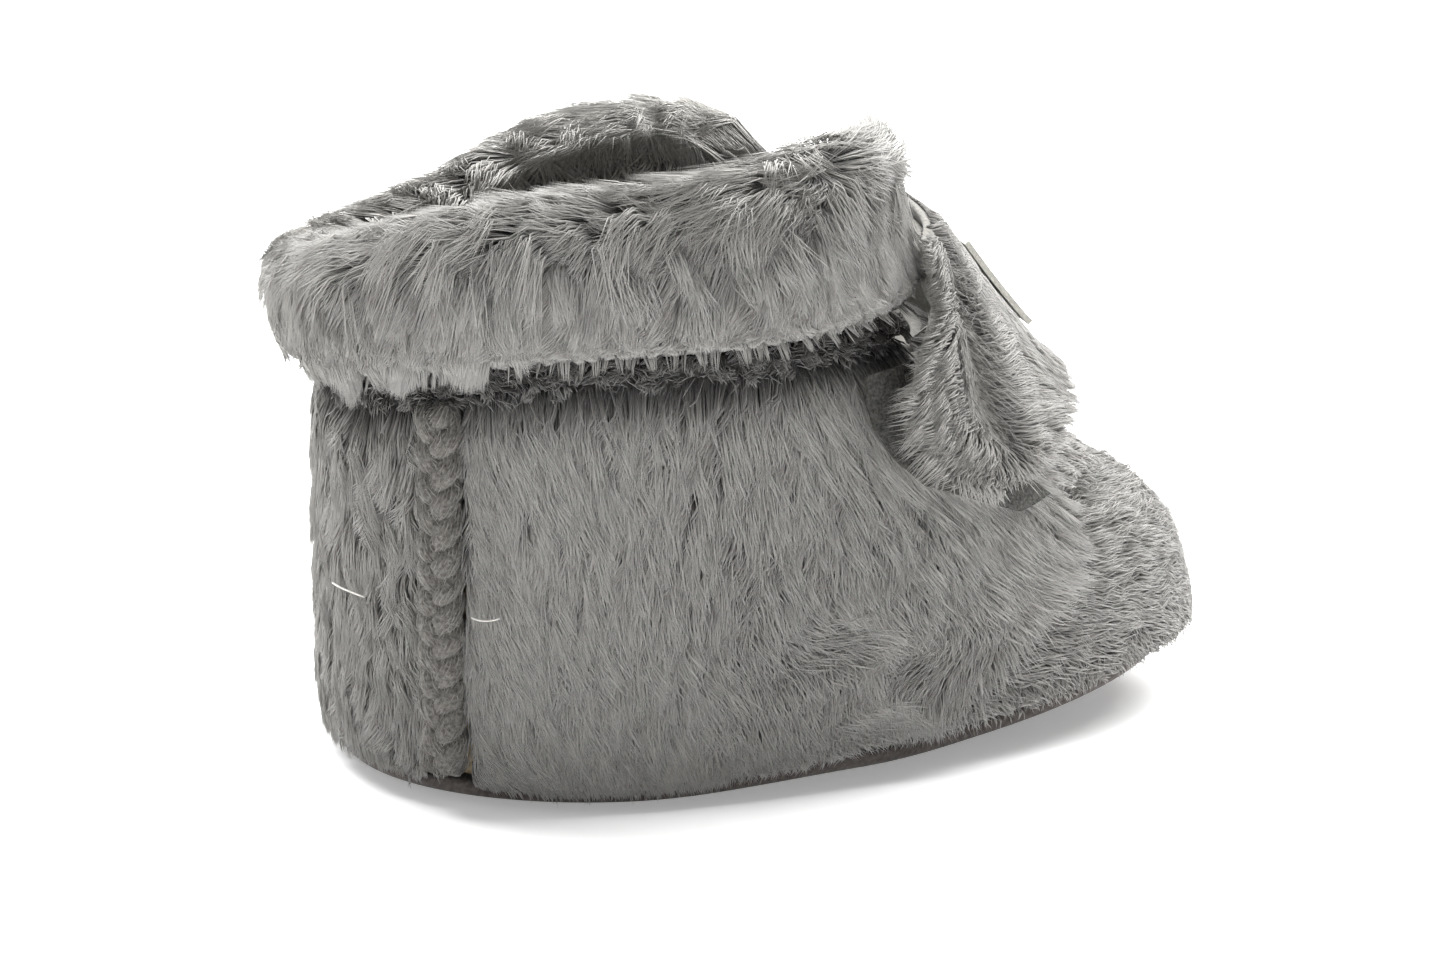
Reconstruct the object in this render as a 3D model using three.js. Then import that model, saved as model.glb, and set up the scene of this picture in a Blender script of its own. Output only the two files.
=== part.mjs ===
// Infant's wrap bootie in long-pile faux fur, right-hand view with the toe towards +X.
// Millimetres, +Z up, the near side of the photograph is -Y. The outer surface is one
// lofted form: a plan curve for each height, narrower and shorter towards the ankle.
// Every fabric piece is a patch of that form between two offsets, so the layers nest.

import * as THREE from 'three';

// Overall form, measured from the plan centre, which lies under the ankle.
const frontReach = 79.5;
const heelReach = 48;
const formWidth = 71;
const ankleHeight = 84;
const seat = 0.3;
const layerGap = 0.45;
const halfWidth = formWidth / 2;

// Underside: flat under the foot, sprung at the toe, eased at the heel, with edges that
// turn up as a soft sole's do, more so at the front.
const toeSpring = 5.6;
const heelLift = 0.8;
const flatFront = 20;
const flatBack = 16;
const edgeRiseBack = 1.6;
const edgeRiseFront = 4.2;
const edgeRiseRear = 14;
const edgeRiseEnd = 20;
const flatMiddleShare = 0.52;
const edgeRiseExponent = 2.2;
const liftHoldHeight = 8;
const liftFadeHeight = 40;
const toeSpringExponent = 1.5;
const levelHoldHeight = 6;
const levelFadeHeight = 20;

// Sole stack, from the floor up.
const outsoleThickness = 2.2;
const outsoleEdgeRound = 0.8;
const outsoleInset = 2.5;
const midsoleThickness = 3;
const boardThickness = 1.2;
const footbedThickness = 4;
const footbedEdgeRound = 1.2;
const stackSideClearance = 0.5;
const midsoleToeTuck = 1.5;
const footbedToeTuck = 5;

// Fabric layers, from the outside in.
const panelThickness = 4.5;
const vampThickness = 4;
const vampLiningThickness = 2.5;
const quarterLiningThickness = 3.5;
const counterThickness = 1;
const heelLiningThickness = 2.2;
const panelEdgeRound = 1.6;
const liningEdgeRound = 0.8;

// Rolled cuff and the taped seam under it.
const cuffHeight = 24;
const cuffOverhang = 6;
const seamSideHeight = 62;
const seamHeelDrop = 6;
const seamFrontRise = 1.5;
const tapeHeight = 3;
const tapeRecess = 1.2;
const liningBelowCuffTop = 4;
const liningSetback = 2.4;

// Wrap closure over the instep.
const flapFurThickness = 3;
const flapLiningThickness = 1.8;
const tapeThickness = 0.6;
const flapBottomHeight = 38;
const flapCentreRise = 6;
const flapTopHeight = 70;
const flapShoulderHeight = 60;
const underlapBottomHeight = 34;
const underlapCentreRise = 2.5;
const underlapTopHeight = 59;
const underlapLiningThickness = 2.5;
const vampTopHeight = 46;
const toePuff = 3;
const toePuffRun = 3.5;
const foldGap = 1.6;
const patchLength = 13;
const patchWidth = 11;
const patchThickness = 0.8;
const patchBottomHeight = 48;
const closureTapeTopHeight = 57;
const flapMargin = 1.2;
const hookTapeMargin = 2.4;
const loopTapeMargin = 4.2;

// Plaited yarn down each side of the heel panel.
const braidWidth = 6.4;
const braidKnots = 12;
const braidSink = 1.4;
const braidWaistShare = 0.74;
const braidStrandShare = 0.86;

// Shares of ankleHeight against shares of frontReach, heelReach or halfWidth.
const frontShares = [
  [0, 1.001], [0.06, 0.998], [0.12, 0.985], [0.18, 0.96], [0.24, 0.928], [0.3, 0.886],
  [0.35, 0.855], [0.39, 0.822], [0.43, 0.775], [0.47, 0.71], [0.51, 0.65], [0.56, 0.592],
  [0.648, 0.515], [0.719, 0.46], [0.814, 0.395], [0.893, 0.36], [1.05, 0.34],
];
const heelShares = [[0, 0.965], [0.05, 0.99], [0.3, 1], [0.7, 0.995], [1.05, 0.99]];
const widthShares = [[0, 0.97], [0.1, 0.99], [0.25, 1], [0.5, 0.98], [0.75, 0.945], [1.05, 0.9]];
const heelOutlineExponent = 2.3;
const toeOutlineExponent = 2.2;

// Bearings run round the plan in degrees: 0 at the toe, -90 near side, +-180 heel.
const braidBearing = 140;
const counterBearing = 118;
const underlapFoldBearing = -39;
const underlapFreeBearing = 9;
const flapFoldBearing = 51;
const farUnderBearing = 45;
const nearCuffEndBearing = -40;
const farCuffEndBearing = 42;
const patchBearing = 5;
const flapCentreBearing = -10;
const flapShoulderBearing = 26;
const flapShoulderTurn = 18;

// Shares of ankleHeight against bearings of the front edges, for the near side.
const sideFrontShares = [
  [0.028, 82], [0.05, 78], [0.113, 66], [0.214, 57.5], [0.286, 50.5], [0.345, 45], [0.4, 41],
];
const vampRearShares = [
  [0.028, 93], [0.05, 90], [0.113, 78], [0.214, 69], [0.286, 61.5], [0.345, 55], [0.5, 49],
];
// The ear's outline: shares of the flap's height above its bottom, against bearings.
const flapEndShares = [
  [-0.05, -46], [0.016, -51], [0.09, -56], [0.22, -59], [0.375, -60.5], [0.53, -59.5],
  [0.64, -54.5], [0.72, -46], [0.765, -38.5], [0.89, -37.5], [1, -34],
];

// Cuff crest: bearing from the near end round the heel, against shares of cuffHeight.
const cuffCrestShares = [
  [-40, 0.946], [-55, 0.968], [-90, 0.864], [-130, 0.703], [-180, 0.624], [-225, 0.48],
  [-245, 0.48], [-258, 0.586], [-271, 0.713], [-285, 0.753], [-300, 0.693], [-318, 0.503],
];
// Cuff section: shares of cuffOverhang (out) or panelThickness (in), and shares of its rise.
const cuffSectionShares = [
  [0.45, 0], [0.85, 0.1], [1, 0.35], [0.97, 0.68], [0.66, 0.88], [0.15, 0.985],
  [-0.42, 0.985], [-0.88, 0.9], [-1, 0.72], [-1, 0.3], [-1, 0], [-0.4, 0],
];

const rad = THREE.MathUtils.degToRad;
const lerp = THREE.MathUtils.lerp;
const clamp01 = (v) => Math.min(1, Math.max(0, v));
const smooth = (v) => clamp01(v) ** 2 * (3 - 2 * clamp01(v));

// A table's value at v, on a curve that never overshoots its points.
function fromTable(table, v) {
  const rising = table[table.length - 1][0] > table[0][0];
  const rows = rising ? table : [...table].reverse();
  if (v <= rows[0][0]) return rows[0][1];
  if (v >= rows[rows.length - 1][0]) return rows[rows.length - 1][1];
  const k = rows.findIndex((row) => row[0] > v) - 1;
  const slope = (i) => (rows[i + 1][1] - rows[i][1]) / (rows[i + 1][0] - rows[i][0]);
  const tangent = (i) => {
    if (i <= 0) return slope(0);
    if (i >= rows.length - 1) return slope(rows.length - 2);
    const before = slope(i - 1);
    const after = slope(i);
    return before * after <= 0 ? 0 : (2 * before * after) / (before + after);
  };
  const span = rows[k + 1][0] - rows[k][0];
  const t = (v - rows[k][0]) / span;
  const a = rows[k][1];
  const b = rows[k + 1][1];
  return a * (1 + 2 * t) * (1 - t) ** 2 + b * t * t * (3 - 2 * t)
    + tangent(k) * span * t * (1 - t) ** 2 - tangent(k + 1) * span * t * t * (1 - t);
}

// Height that the shaped underside adds at x and y, fading out up the shoe.
function lift(x, y, height) {
  const toe = Math.max(0, (x - flatFront) / (frontReach - flatFront)) ** toeSpringExponent;
  const heel = Math.max(0, (-flatBack - x) / (heelReach - flatBack)) ** 2;
  const spread = Math.hypot(x / (x > 0 ? frontReach : heelReach), y / halfWidth);
  const edge = Math.max(0, (spread - flatMiddleShare) / (1 - flatMiddleShare)) ** edgeRiseExponent;
  const forward = smooth((x + edgeRiseRear) / (edgeRiseEnd + edgeRiseRear));
  const edgeRise = lerp(edgeRiseBack, edgeRiseFront, forward);
  const fade = 1 - smooth((height - liftHoldHeight) / (liftFadeHeight - liftHoldHeight));
  return (toeSpring * toe + heelLift * heel + edgeRise * edge) * fade;
}

// The form before the rocker: superellipse halves meeting at the widest line.
function straightPoint(bearing, height) {
  const share = height / ankleHeight;
  const c = Math.cos(rad(bearing));
  const s = Math.sin(rad(bearing));
  const front = c > 0;
  const power = 2 / (front ? toeOutlineExponent : heelOutlineExponent);
  const reach = front
    ? frontReach * fromTable(frontShares, share)
    : heelReach * fromTable(heelShares, share);
  const width = halfWidth * fromTable(widthShares, share);
  return new THREE.Vector3(
    reach * Math.sign(c) * Math.abs(c) ** power,
    width * Math.sign(s) * Math.abs(s) ** power,
    height,
  );
}

// The form's normal, level at the hem so that every layer stands on the sole stack.
function straightNormal(bearing, height) {
  const turn = 1;
  const step = ankleHeight / 160;
  const around = straightPoint(bearing + turn, height).sub(straightPoint(bearing - turn, height));
  const up = straightPoint(bearing, height + step).sub(straightPoint(bearing, height - step));
  const normal = around.cross(up).normalize();
  normal.z *= smooth((height - levelHoldHeight) / (levelFadeHeight - levelHoldHeight));
  return normal.normalize();
}

function rocked(p) {
  return new THREE.Vector3(p.x, p.y, p.z + lift(p.x, p.y, p.z));
}

// A point of the shoe: on the form at this bearing and height, moved out by offset.
function surfacePoint(bearing, height, offset) {
  const out = straightNormal(bearing, height);
  return rocked(straightPoint(bearing, height).addScaledVector(out, offset));
}

// Degrees of bearing that cover a distance along the plan curve.
function bearingSpan(distance, bearing, height) {
  const ahead = straightPoint(bearing + 1, height);
  return 2 * distance / ahead.distanceTo(straightPoint(bearing - 1, height));
}

// One closed body from shared vertices, turned so that its faces point out.
function closedGeometry(points, triangles) {
  let volume = 0;
  for (const [a, b, c] of triangles) {
    volume += points[a].dot(new THREE.Vector3().crossVectors(points[b], points[c]));
  }
  const faces = volume < 0 ? triangles.map(([a, b, c]) => [a, c, b]) : triangles;
  const geometry = new THREE.BufferGeometry();
  const places = points.flatMap((p) => p.toArray());
  geometry.setAttribute('position', new THREE.Float32BufferAttribute(places, 3));
  geometry.setIndex(faces.flat());
  geometry.computeVertexNormals();
  return geometry;
}

function quad(triangles, a, b, c, d) {
  triangles.push([a, b, c], [a, c, d]);
}

// A patch of the form between two offsets, crowned so that its edges turn in.
// leftEdge and rightEdge give bearings for a height, bottom and top heights for a bearing.
function fabricPanel({ leftEdge, rightEdge, bottom, top, outer, inner, round, across, up }) {
  const borderShare = 0.16;
  const crown = (t) => Math.sqrt(1 - (1 - clamp01(Math.min(t, 1 - t) / borderShare)) ** 2);
  const gatheredShare = 0.3;
  const share = (i, n) => lerp(i / n, 0.5 - 0.5 * Math.cos(Math.PI * i / n), gatheredShare);
  const points = [];
  const triangles = [];
  for (const side of [0, 1]) {
    for (let j = 0; j <= up; j += 1) {
      for (let i = 0; i <= across; i += 1) {
        const p = share(i, across);
        const q = share(j, up);
        const middle = (leftEdge(0) + rightEdge(0)) / 2;
        const guess = lerp(bottom(middle), top(middle), q);
        const bearing = lerp(leftEdge(guess), rightEdge(guess), p);
        const height = lerp(bottom(bearing), top(bearing), q);
        const drop = round * (1 - crown(p) * crown(q));
        const offset = side === 0 ? outer(bearing, height) - drop : inner(bearing, height);
        points.push(surfacePoint(bearing, height, offset));
      }
    }
  }
  const row = across + 1;
  const layer = row * (up + 1);
  for (let j = 0; j < up; j += 1) {
    for (let i = 0; i < across; i += 1) {
      const a = j * row + i;
      quad(triangles, a, a + 1, a + row + 1, a + row);
      quad(triangles, layer + a, layer + a + row, layer + a + row + 1, layer + a + 1);
    }
  }
  for (let i = 0; i < across; i += 1) {
    const last = up * row + i;
    quad(triangles, i + 1, i, layer + i, layer + i + 1);
    quad(triangles, last, last + 1, layer + last + 1, layer + last);
  }
  for (let j = 0; j < up; j += 1) {
    const a = j * row;
    const b = j * row + across;
    quad(triangles, a, a + row, layer + a + row, layer + a);
    quad(triangles, b + row, b, layer + b, layer + b + row);
  }
  return closedGeometry(points, triangles);
}

// A slab of the sole stack. inset gives how far its edge lies inside the form at a bearing.
function soleSlab({ bottom, top, inset, round, roundTop, cross }) {
  const stations = 20;
  const points = [];
  const triangles = [];
  const rings = [
    { height: bottom, extra: roundTop ? 0 : round },
    { height: bottom + (roundTop ? 0 : round), extra: 0 },
    { height: top - (roundTop ? round : 0), extra: 0 },
    { height: top, extra: roundTop ? round : 0 },
  ].filter((ring, k, all) => k === 0 || ring.height !== all[k - 1].height);
  const edge = (bearing, ring) => {
    const level = outsoleThickness + seat;
    const p = straightPoint(bearing, level);
    p.addScaledVector(straightNormal(bearing, level), -(inset(bearing) + ring.extra));
    return p;
  };
  const place = (x, y, height) => rocked(new THREE.Vector3(x, y, height));
  const face = (ring) => {
    const rows = [];
    for (let i = 0; i <= stations; i += 1) {
      const bearing = 180 * i / stations;
      const p = edge(bearing, ring);
      const row = [];
      if (i === 0 || i === stations) {
        points.push(place(p.x, 0, ring.height));
        row.push(...Array(cross + 1).fill(points.length - 1));
      } else {
        for (let j = 0; j <= cross; j += 1) {
          points.push(place(p.x, lerp(-p.y, p.y, j / cross), ring.height));
          row.push(points.length - 1);
        }
      }
      rows.push(row);
    }
    return rows;
  };
  const rimOf = (rows) => [
    ...rows.map((row) => row[cross]),
    ...rows.slice(1, -1).reverse().map((row) => row[0]),
  ];
  const faceTriangles = (rows, flip) => {
    for (let i = 0; i < stations; i += 1) {
      for (let j = 0; j < cross; j += 1) {
        const square = [rows[i][j], rows[i][j + 1], rows[i + 1][j + 1], rows[i + 1][j]];
        const corners = square.filter((v, k) => square.indexOf(v) === k);
        if (flip) corners.reverse();
        if (corners.length === 4) quad(triangles, ...corners);
        else if (corners.length === 3) triangles.push(corners);
      }
    }
  };
  const lower = face(rings[0]);
  const upper = face(rings[rings.length - 1]);
  const rims = rings.map((ring, k) => {
    if (k === 0) return rimOf(lower);
    if (k === rings.length - 1) return rimOf(upper);
    const rim = [];
    for (let i = 0; i < 2 * stations; i += 1) {
      const p = edge(180 * i / stations, ring);
      points.push(place(p.x, i % stations === 0 ? 0 : p.y, ring.height));
      rim.push(points.length - 1);
    }
    return rim;
  });
  faceTriangles(lower, false);
  faceTriangles(upper, true);
  for (let k = 0; k + 1 < rims.length; k += 1) {
    for (let i = 0; i < 2 * stations; i += 1) {
      const n = (i + 1) % (2 * stations);
      quad(triangles, rims[k][i], rims[k + 1][i], rims[k + 1][n], rims[k][n]);
    }
  }
  return closedGeometry(points, triangles);
}

// A band swept round the shoe: section(bearing) gives its [offset, height] corners in order.
function sweptBand({ start, end, steps, section }) {
  const points = [];
  const triangles = [];
  const corners = section(start).length;
  for (let i = 0; i <= steps; i += 1) {
    const bearing = lerp(start, end, i / steps);
    for (const [offset, height] of section(bearing)) {
      points.push(surfacePoint(bearing, height, offset));
    }
  }
  for (let i = 0; i < steps; i += 1) {
    for (let j = 0; j < corners; j += 1) {
      const a = i * corners + j;
      const b = i * corners + ((j + 1) % corners);
      quad(triangles, a, b, b + corners, a + corners);
    }
  }
  for (const [first, flip] of [[0, true], [steps * corners, false]]) {
    const centre = new THREE.Vector3();
    for (let j = 0; j < corners; j += 1) centre.addScaledVector(points[first + j], 1 / corners);
    points.push(centre);
    for (let j = 0; j < corners; j += 1) {
      const pair = [first + j, first + ((j + 1) % corners)];
      if (flip) pair.reverse();
      triangles.push([points.length - 1, ...pair]);
    }
  }
  return closedGeometry(points, triangles);
}

// A string of plump knots down a line of the form: an unbroken tube whose radius swells.
function plaitedYarn(bearing, bottom, top) {
  const sides = 6;
  const perKnot = 5;
  const rings = braidKnots * perKnot;
  const radius = braidWidth / 2;
  const points = [];
  const triangles = [];
  for (let i = 0; i <= rings; i += 1) {
    const height = lerp(bottom + seat, top - seat, i / rings);
    const swell = Math.abs(Math.sin(Math.PI * i / perKnot));
    const taper = i === 0 || i === rings ? braidWaistShare : 1;
    const size = radius * taper * lerp(braidWaistShare, 1, swell);
    const centre = surfacePoint(bearing, height, -braidSink);
    const out = straightNormal(bearing, height);
    const along = surfacePoint(bearing, height + seat, -braidSink).sub(centre).normalize();
    const side = new THREE.Vector3().crossVectors(along, out).normalize();
    for (let j = 0; j < sides; j += 1) {
      const turn = 2 * Math.PI * j / sides;
      const point = centre.clone().addScaledVector(side, size * Math.cos(turn));
      points.push(point.addScaledVector(out, size * braidStrandShare * Math.sin(turn)));
    }
  }
  for (let i = 0; i < rings; i += 1) {
    for (let j = 0; j < sides; j += 1) {
      const a = i * sides + j;
      const b = i * sides + ((j + 1) % sides);
      quad(triangles, a, b, b + sides, a + sides);
    }
  }
  for (const [first, flip] of [[0, true], [rings * sides, false]]) {
    for (let j = 1; j + 1 < sides; j += 1) {
      const corner = [first, first + j, first + j + 1];
      triangles.push(flip ? corner.reverse() : corner);
    }
  }
  return closedGeometry(points, triangles);
}

// Levels and depths that several pieces share.
const hemHeight = outsoleThickness + layerGap;
const midsoleTop = hemHeight + midsoleThickness;
const boardBottom = midsoleTop + seat;
const boardTop = boardBottom + boardThickness;
const footbedBottom = boardTop + seat;
const footbedTop = footbedBottom + footbedThickness;
const secondLayer = panelThickness + layerGap;
const thirdLayer = secondLayer + vampThickness + layerGap;
const heelLiningOuter = secondLayer + counterThickness + layerGap;
const liningDepth = secondLayer + quarterLiningThickness;

const seamHeight = (bearing) => {
  const c = Math.cos(rad(bearing));
  return seamSideHeight + (c > 0 ? seamFrontRise * c : -seamHeelDrop * Math.abs(c) ** 3);
};
const unwrapped = (bearing) => (bearing > nearCuffEndBearing + 1 ? bearing - 360 : bearing);
const cuffCrest = (bearing) => seamHeight(bearing)
  + cuffHeight * fromTable(cuffCrestShares, unwrapped(bearing));
const panelTop = (bearing) => seamHeight(bearing) - tapeHeight - seat;
const sideFront = (height) => fromTable(sideFrontShares, height / ankleHeight);
const vampRear = (height) => fromTable(vampRearShares, height / ankleHeight);
const constant = (value) => () => value;
const shifted = (edge, distance) => (height) => edge(height)
  + bearingSpan(distance, edge(height), height);

const channel = braidWidth / 2 + seat;
const channelSpan = (height) => bearingSpan(channel, braidBearing, height);

const fleece = { color: 0x9b9994, roughness: 1, metalness: 0 };
const lining = { color: 0xa8a59e, roughness: 1, metalness: 0 };
const suede = { color: 0x5a5552, roughness: 0.95, metalness: 0 };
const foam = { color: 0xd8d4cb, roughness: 0.9, metalness: 0 };
const board = { color: 0xb9a88c, roughness: 0.85, metalness: 0 };
const yarn = { color: 0x7d7873, roughness: 1, metalness: 0 };
const closureTape = { color: 0x2d2d2a, roughness: 0.8, metalness: 0 };
const cream = { color: 0xe4e2da, roughness: 0.9, metalness: 0 };

const bootie = new THREE.Group();
bootie.name = 'bootie';
function addPiece(name, geometry, finish) {
  const mesh = new THREE.Mesh(geometry, new THREE.MeshStandardMaterial(finish));
  mesh.name = name;
  bootie.add(mesh);
}

// Sole: suede outsole, foam midsole, insole board and fleece footbed.
// The side panels' skin ends before the toe, where the vamp's lies one layer further in.
const toward = (bearing, from, to) => smooth((Math.cos(rad(bearing)) - from) / (to - from));
const outsoleEdge = (bearing) => outsoleInset + secondLayer * toward(bearing, 0.1, 0.5);
const innerEdge = (bearing, toeDepth, toeTuck) => stackSideClearance
  + lerp(liningDepth, toeDepth, toward(bearing, -0.35, -0.1)) + toeTuck * toward(bearing, 0.1, 0.9);
const midsoleEdge = (bearing) => innerEdge(bearing, secondLayer + vampThickness, midsoleToeTuck);
const footbedDepth = thirdLayer + vampLiningThickness;
const footbedEdge = (bearing) => innerEdge(bearing, footbedDepth, footbedToeTuck);
addPiece('outsole', soleSlab({
  bottom: 0, top: outsoleThickness, inset: outsoleEdge,
  round: outsoleEdgeRound, roundTop: false, cross: 8,
}), suede);
addPiece('midsole', soleSlab({
  bottom: hemHeight, top: midsoleTop, inset: midsoleEdge,
  round: 0, roundTop: true, cross: 6,
}), foam);
addPiece('insole_board', soleSlab({
  bottom: boardBottom, top: boardTop, inset: footbedEdge,
  round: 0, roundTop: true, cross: 6,
}), board);
addPiece('footbed', soleSlab({
  bottom: footbedBottom, top: footbedTop, inset: footbedEdge,
  round: footbedEdgeRound, roundTop: true, cross: 6,
}), lining);

// Toe piece and its lining, which run back under the side panels and up under the wrap.
// It swells ahead of the panels, below the near wing and beside it.
const toePuffTurn = 16;
const besideWingTurn = 8;
const vampOuter = (bearing, height) => {
  const ahead = smooth((sideFront(height) - Math.abs(bearing)) / toePuffTurn);
  const below = smooth((underlapBottomHeight - height) / toePuffRun);
  const wingEnd = shifted(constant(underlapFreeBearing), layerGap)(height);
  const beside = smooth((bearing - wingEnd) / besideWingTurn);
  return -secondLayer + toePuff * ahead * Math.max(below, beside);
};
addPiece('toe_vamp', fabricPanel({
  leftEdge: (height) => -vampRear(height),
  rightEdge: vampRear,
  bottom: constant(hemHeight),
  top: constant(vampTopHeight),
  outer: vampOuter,
  inner: constant(-secondLayer - vampThickness),
  round: panelEdgeRound, across: 26, up: 13,
}), fleece);
const vampLiningMargin = 2.2;
const vampLiningRear = shifted(vampRear, -vampLiningMargin);
addPiece('vamp_lining', fabricPanel({
  leftEdge: (height) => -vampLiningRear(height),
  rightEdge: vampLiningRear,
  bottom: constant(boardBottom),
  top: constant(vampTopHeight),
  outer: constant(-thirdLayer),
  inner: constant(-thirdLayer - vampLiningThickness),
  round: 0, across: 22, up: 10,
}), lining);

// Side panels, from the plait to the front edge that laps over the toe piece.
const rearEdge = (height) => braidBearing - channelSpan(height);
const nearPanelFold = shifted(constant(-underlapFoldBearing), foldGap / 2);
const nearPanelFront = (height) => Math.max(sideFront(height), nearPanelFold(height));
const farPanelFront = (height) => Math.max(sideFront(height), farUnderBearing);
for (const [name, side, front] of [
  ['side_panel_near', -1, nearPanelFront],
  ['side_panel_far', 1, farPanelFront],
]) {
  addPiece(name, fabricPanel({
    leftEdge: (height) => side * rearEdge(height),
    rightEdge: (height) => side * front(height),
    bottom: constant(hemHeight),
    top: panelTop,
    outer: constant(0),
    inner: constant(-panelThickness),
    round: panelEdgeRound, across: 18, up: 13,
  }), fleece);
}

// Heel panel between the two plaits, with its counter and lining.
addPiece('heel_panel', fabricPanel({
  leftEdge: (height) => braidBearing + channelSpan(height),
  rightEdge: (height) => 360 - braidBearing - channelSpan(height),
  bottom: constant(hemHeight),
  top: panelTop,
  outer: constant(0),
  inner: constant(-panelThickness),
  round: panelEdgeRound, across: 12, up: 11,
}), fleece);
const counterTopHeight = 40;
addPiece('heel_counter', fabricPanel({
  leftEdge: constant(counterBearing),
  rightEdge: constant(360 - counterBearing),
  bottom: constant(hemHeight),
  top: constant(counterTopHeight),
  outer: constant(-secondLayer),
  inner: constant(-secondLayer - counterThickness),
  round: 0, across: 12, up: 4,
}), board);
const liningTop = (bearing) => cuffCrest(bearing) - liningBelowCuffTop;
addPiece('heel_lining', fabricPanel({
  leftEdge: constant(counterBearing),
  rightEdge: constant(360 - counterBearing),
  bottom: constant(hemHeight),
  top: liningTop,
  outer: constant(-heelLiningOuter),
  inner: constant(-heelLiningOuter - heelLiningThickness),
  round: 0, across: 12, up: 7,
}), lining);

// Quarter linings: behind the side panels, round the vamp's rear edge, up inside the cuff.
const liningRear = shifted(constant(counterBearing), -seat);
const liningFront = shifted(vampRear, liningSetback);
const throatTurn = 3;
for (const [name, side, throat] of [
  ['quarter_lining_near', -1, -nearCuffEndBearing + throatTurn],
  ['quarter_lining_far', 1, farCuffEndBearing + throatTurn],
]) {
  addPiece(name, fabricPanel({
    leftEdge: (height) => side * liningRear(height),
    rightEdge: (height) => side * Math.max(liningFront(height), throat),
    bottom: constant(hemHeight),
    top: liningTop,
    outer: constant(-secondLayer),
    inner: constant(-liningDepth),
    round: liningEdgeRound, across: 11, up: 14,
  }), lining);
}

// Plaits of heavy yarn that close the two heel seams.
for (const [name, side] of [['heel_plait_near', -1], ['heel_plait_far', 1]]) {
  addPiece(name, plaitedYarn(side * braidBearing, hemHeight, panelTop(braidBearing)), yarn);
}

// Taped seam and the rolled cuff above it, open at the front.
const cuffStart = nearCuffEndBearing;
const cuffEnd = farCuffEndBearing - 360;
addPiece('cuff_seam_tape', sweptBand({
  start: cuffStart, end: cuffEnd, steps: 40,
  section: (bearing) => {
    const low = seamHeight(bearing) - tapeHeight;
    const high = seamHeight(bearing);
    return [
      [-panelThickness, low], [-tapeRecess, low], [-tapeRecess, high], [-panelThickness, high],
    ];
  },
}), yarn);
addPiece('cuff_roll', sweptBand({
  start: cuffStart, end: cuffEnd, steps: 42,
  section: (bearing) => {
    const low = seamHeight(bearing) + seat;
    const crest = cuffCrest(bearing);
    return cuffSectionShares.map(([out, rise]) => [
      out > 0 ? out * cuffOverhang : out * panelThickness,
      lerp(low, crest, rise),
    ]);
  },
}), fleece);

// Underlap: the near wing that crosses the instep first.
const underlapBottom = (bearing) => underlapBottomHeight
  + underlapCentreRise * Math.cos(rad(bearing)) ** 2;
addPiece('underlap', fabricPanel({
  leftEdge: shifted(constant(underlapFoldBearing), foldGap / 2),
  rightEdge: constant(underlapFreeBearing),
  bottom: underlapBottom,
  top: constant(underlapTopHeight),
  outer: constant(0),
  inner: constant(-panelThickness),
  round: panelEdgeRound, across: 12, up: 9,
}), fleece);
const underlapLiningMargin = 1.5;
addPiece('underlap_lining', fabricPanel({
  leftEdge: shifted(constant(underlapFoldBearing), underlapLiningMargin),
  rightEdge: shifted(constant(underlapFreeBearing), -underlapLiningMargin),
  bottom: constant(vampTopHeight + 2 * seat),
  top: constant(underlapTopHeight - underlapLiningMargin),
  outer: constant(-secondLayer),
  inner: constant(-secondLayer - underlapLiningThickness),
  round: 0, across: 8, up: 5,
}), lining);

// Closure flap: lining, fur and hook tape, from the far fold to the ear on the near side.
const tapeStack = 2 * (tapeThickness + layerGap);
const standOff = (bearing) => layerGap
  + tapeStack * smooth((flapFoldBearing - bearing) / flapFoldBearing);
const flapLiningOuter = (bearing) => standOff(bearing) + flapLiningThickness;
const flapOuter = (bearing) => flapLiningOuter(bearing) + layerGap + flapFurThickness;
const flapEnd = (height) => fromTable(
  flapEndShares,
  (height - flapBottomHeight) / (flapTopHeight - flapBottomHeight),
);
const flapBottom = (bearing) => flapBottomHeight
  + flapCentreRise * Math.cos(rad(bearing - flapCentreBearing)) ** 6;
const flapTop = (bearing) => lerp(
  flapShoulderHeight,
  flapTopHeight,
  smooth((flapShoulderBearing - bearing) / flapShoulderTurn),
);
addPiece('closure_flap', fabricPanel({
  leftEdge: flapEnd,
  rightEdge: constant(flapFoldBearing),
  bottom: flapBottom,
  top: flapTop,
  outer: flapOuter,
  inner: (bearing) => flapLiningOuter(bearing) + layerGap,
  round: panelEdgeRound, across: 20, up: 12,
}), fleece);
addPiece('flap_lining', fabricPanel({
  leftEdge: shifted(flapEnd, flapMargin),
  rightEdge: constant(flapFoldBearing),
  bottom: (bearing) => flapBottom(bearing) + flapMargin,
  top: (bearing) => flapTop(bearing) - flapMargin,
  outer: flapLiningOuter,
  inner: standOff,
  round: 0, across: 14, up: 9,
}), lining);
const closureTapeTurn = 4;
const closureTapeInner = underlapFoldBearing - closureTapeTurn;
addPiece('hook_tape', fabricPanel({
  leftEdge: shifted(flapEnd, hookTapeMargin),
  rightEdge: constant(closureTapeInner),
  bottom: (bearing) => flapBottom(bearing) + hookTapeMargin,
  top: constant(closureTapeTopHeight - flapMargin),
  outer: constant(tapeStack),
  inner: constant(tapeStack - tapeThickness),
  round: 0, across: 5, up: 6,
}), closureTape);
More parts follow.
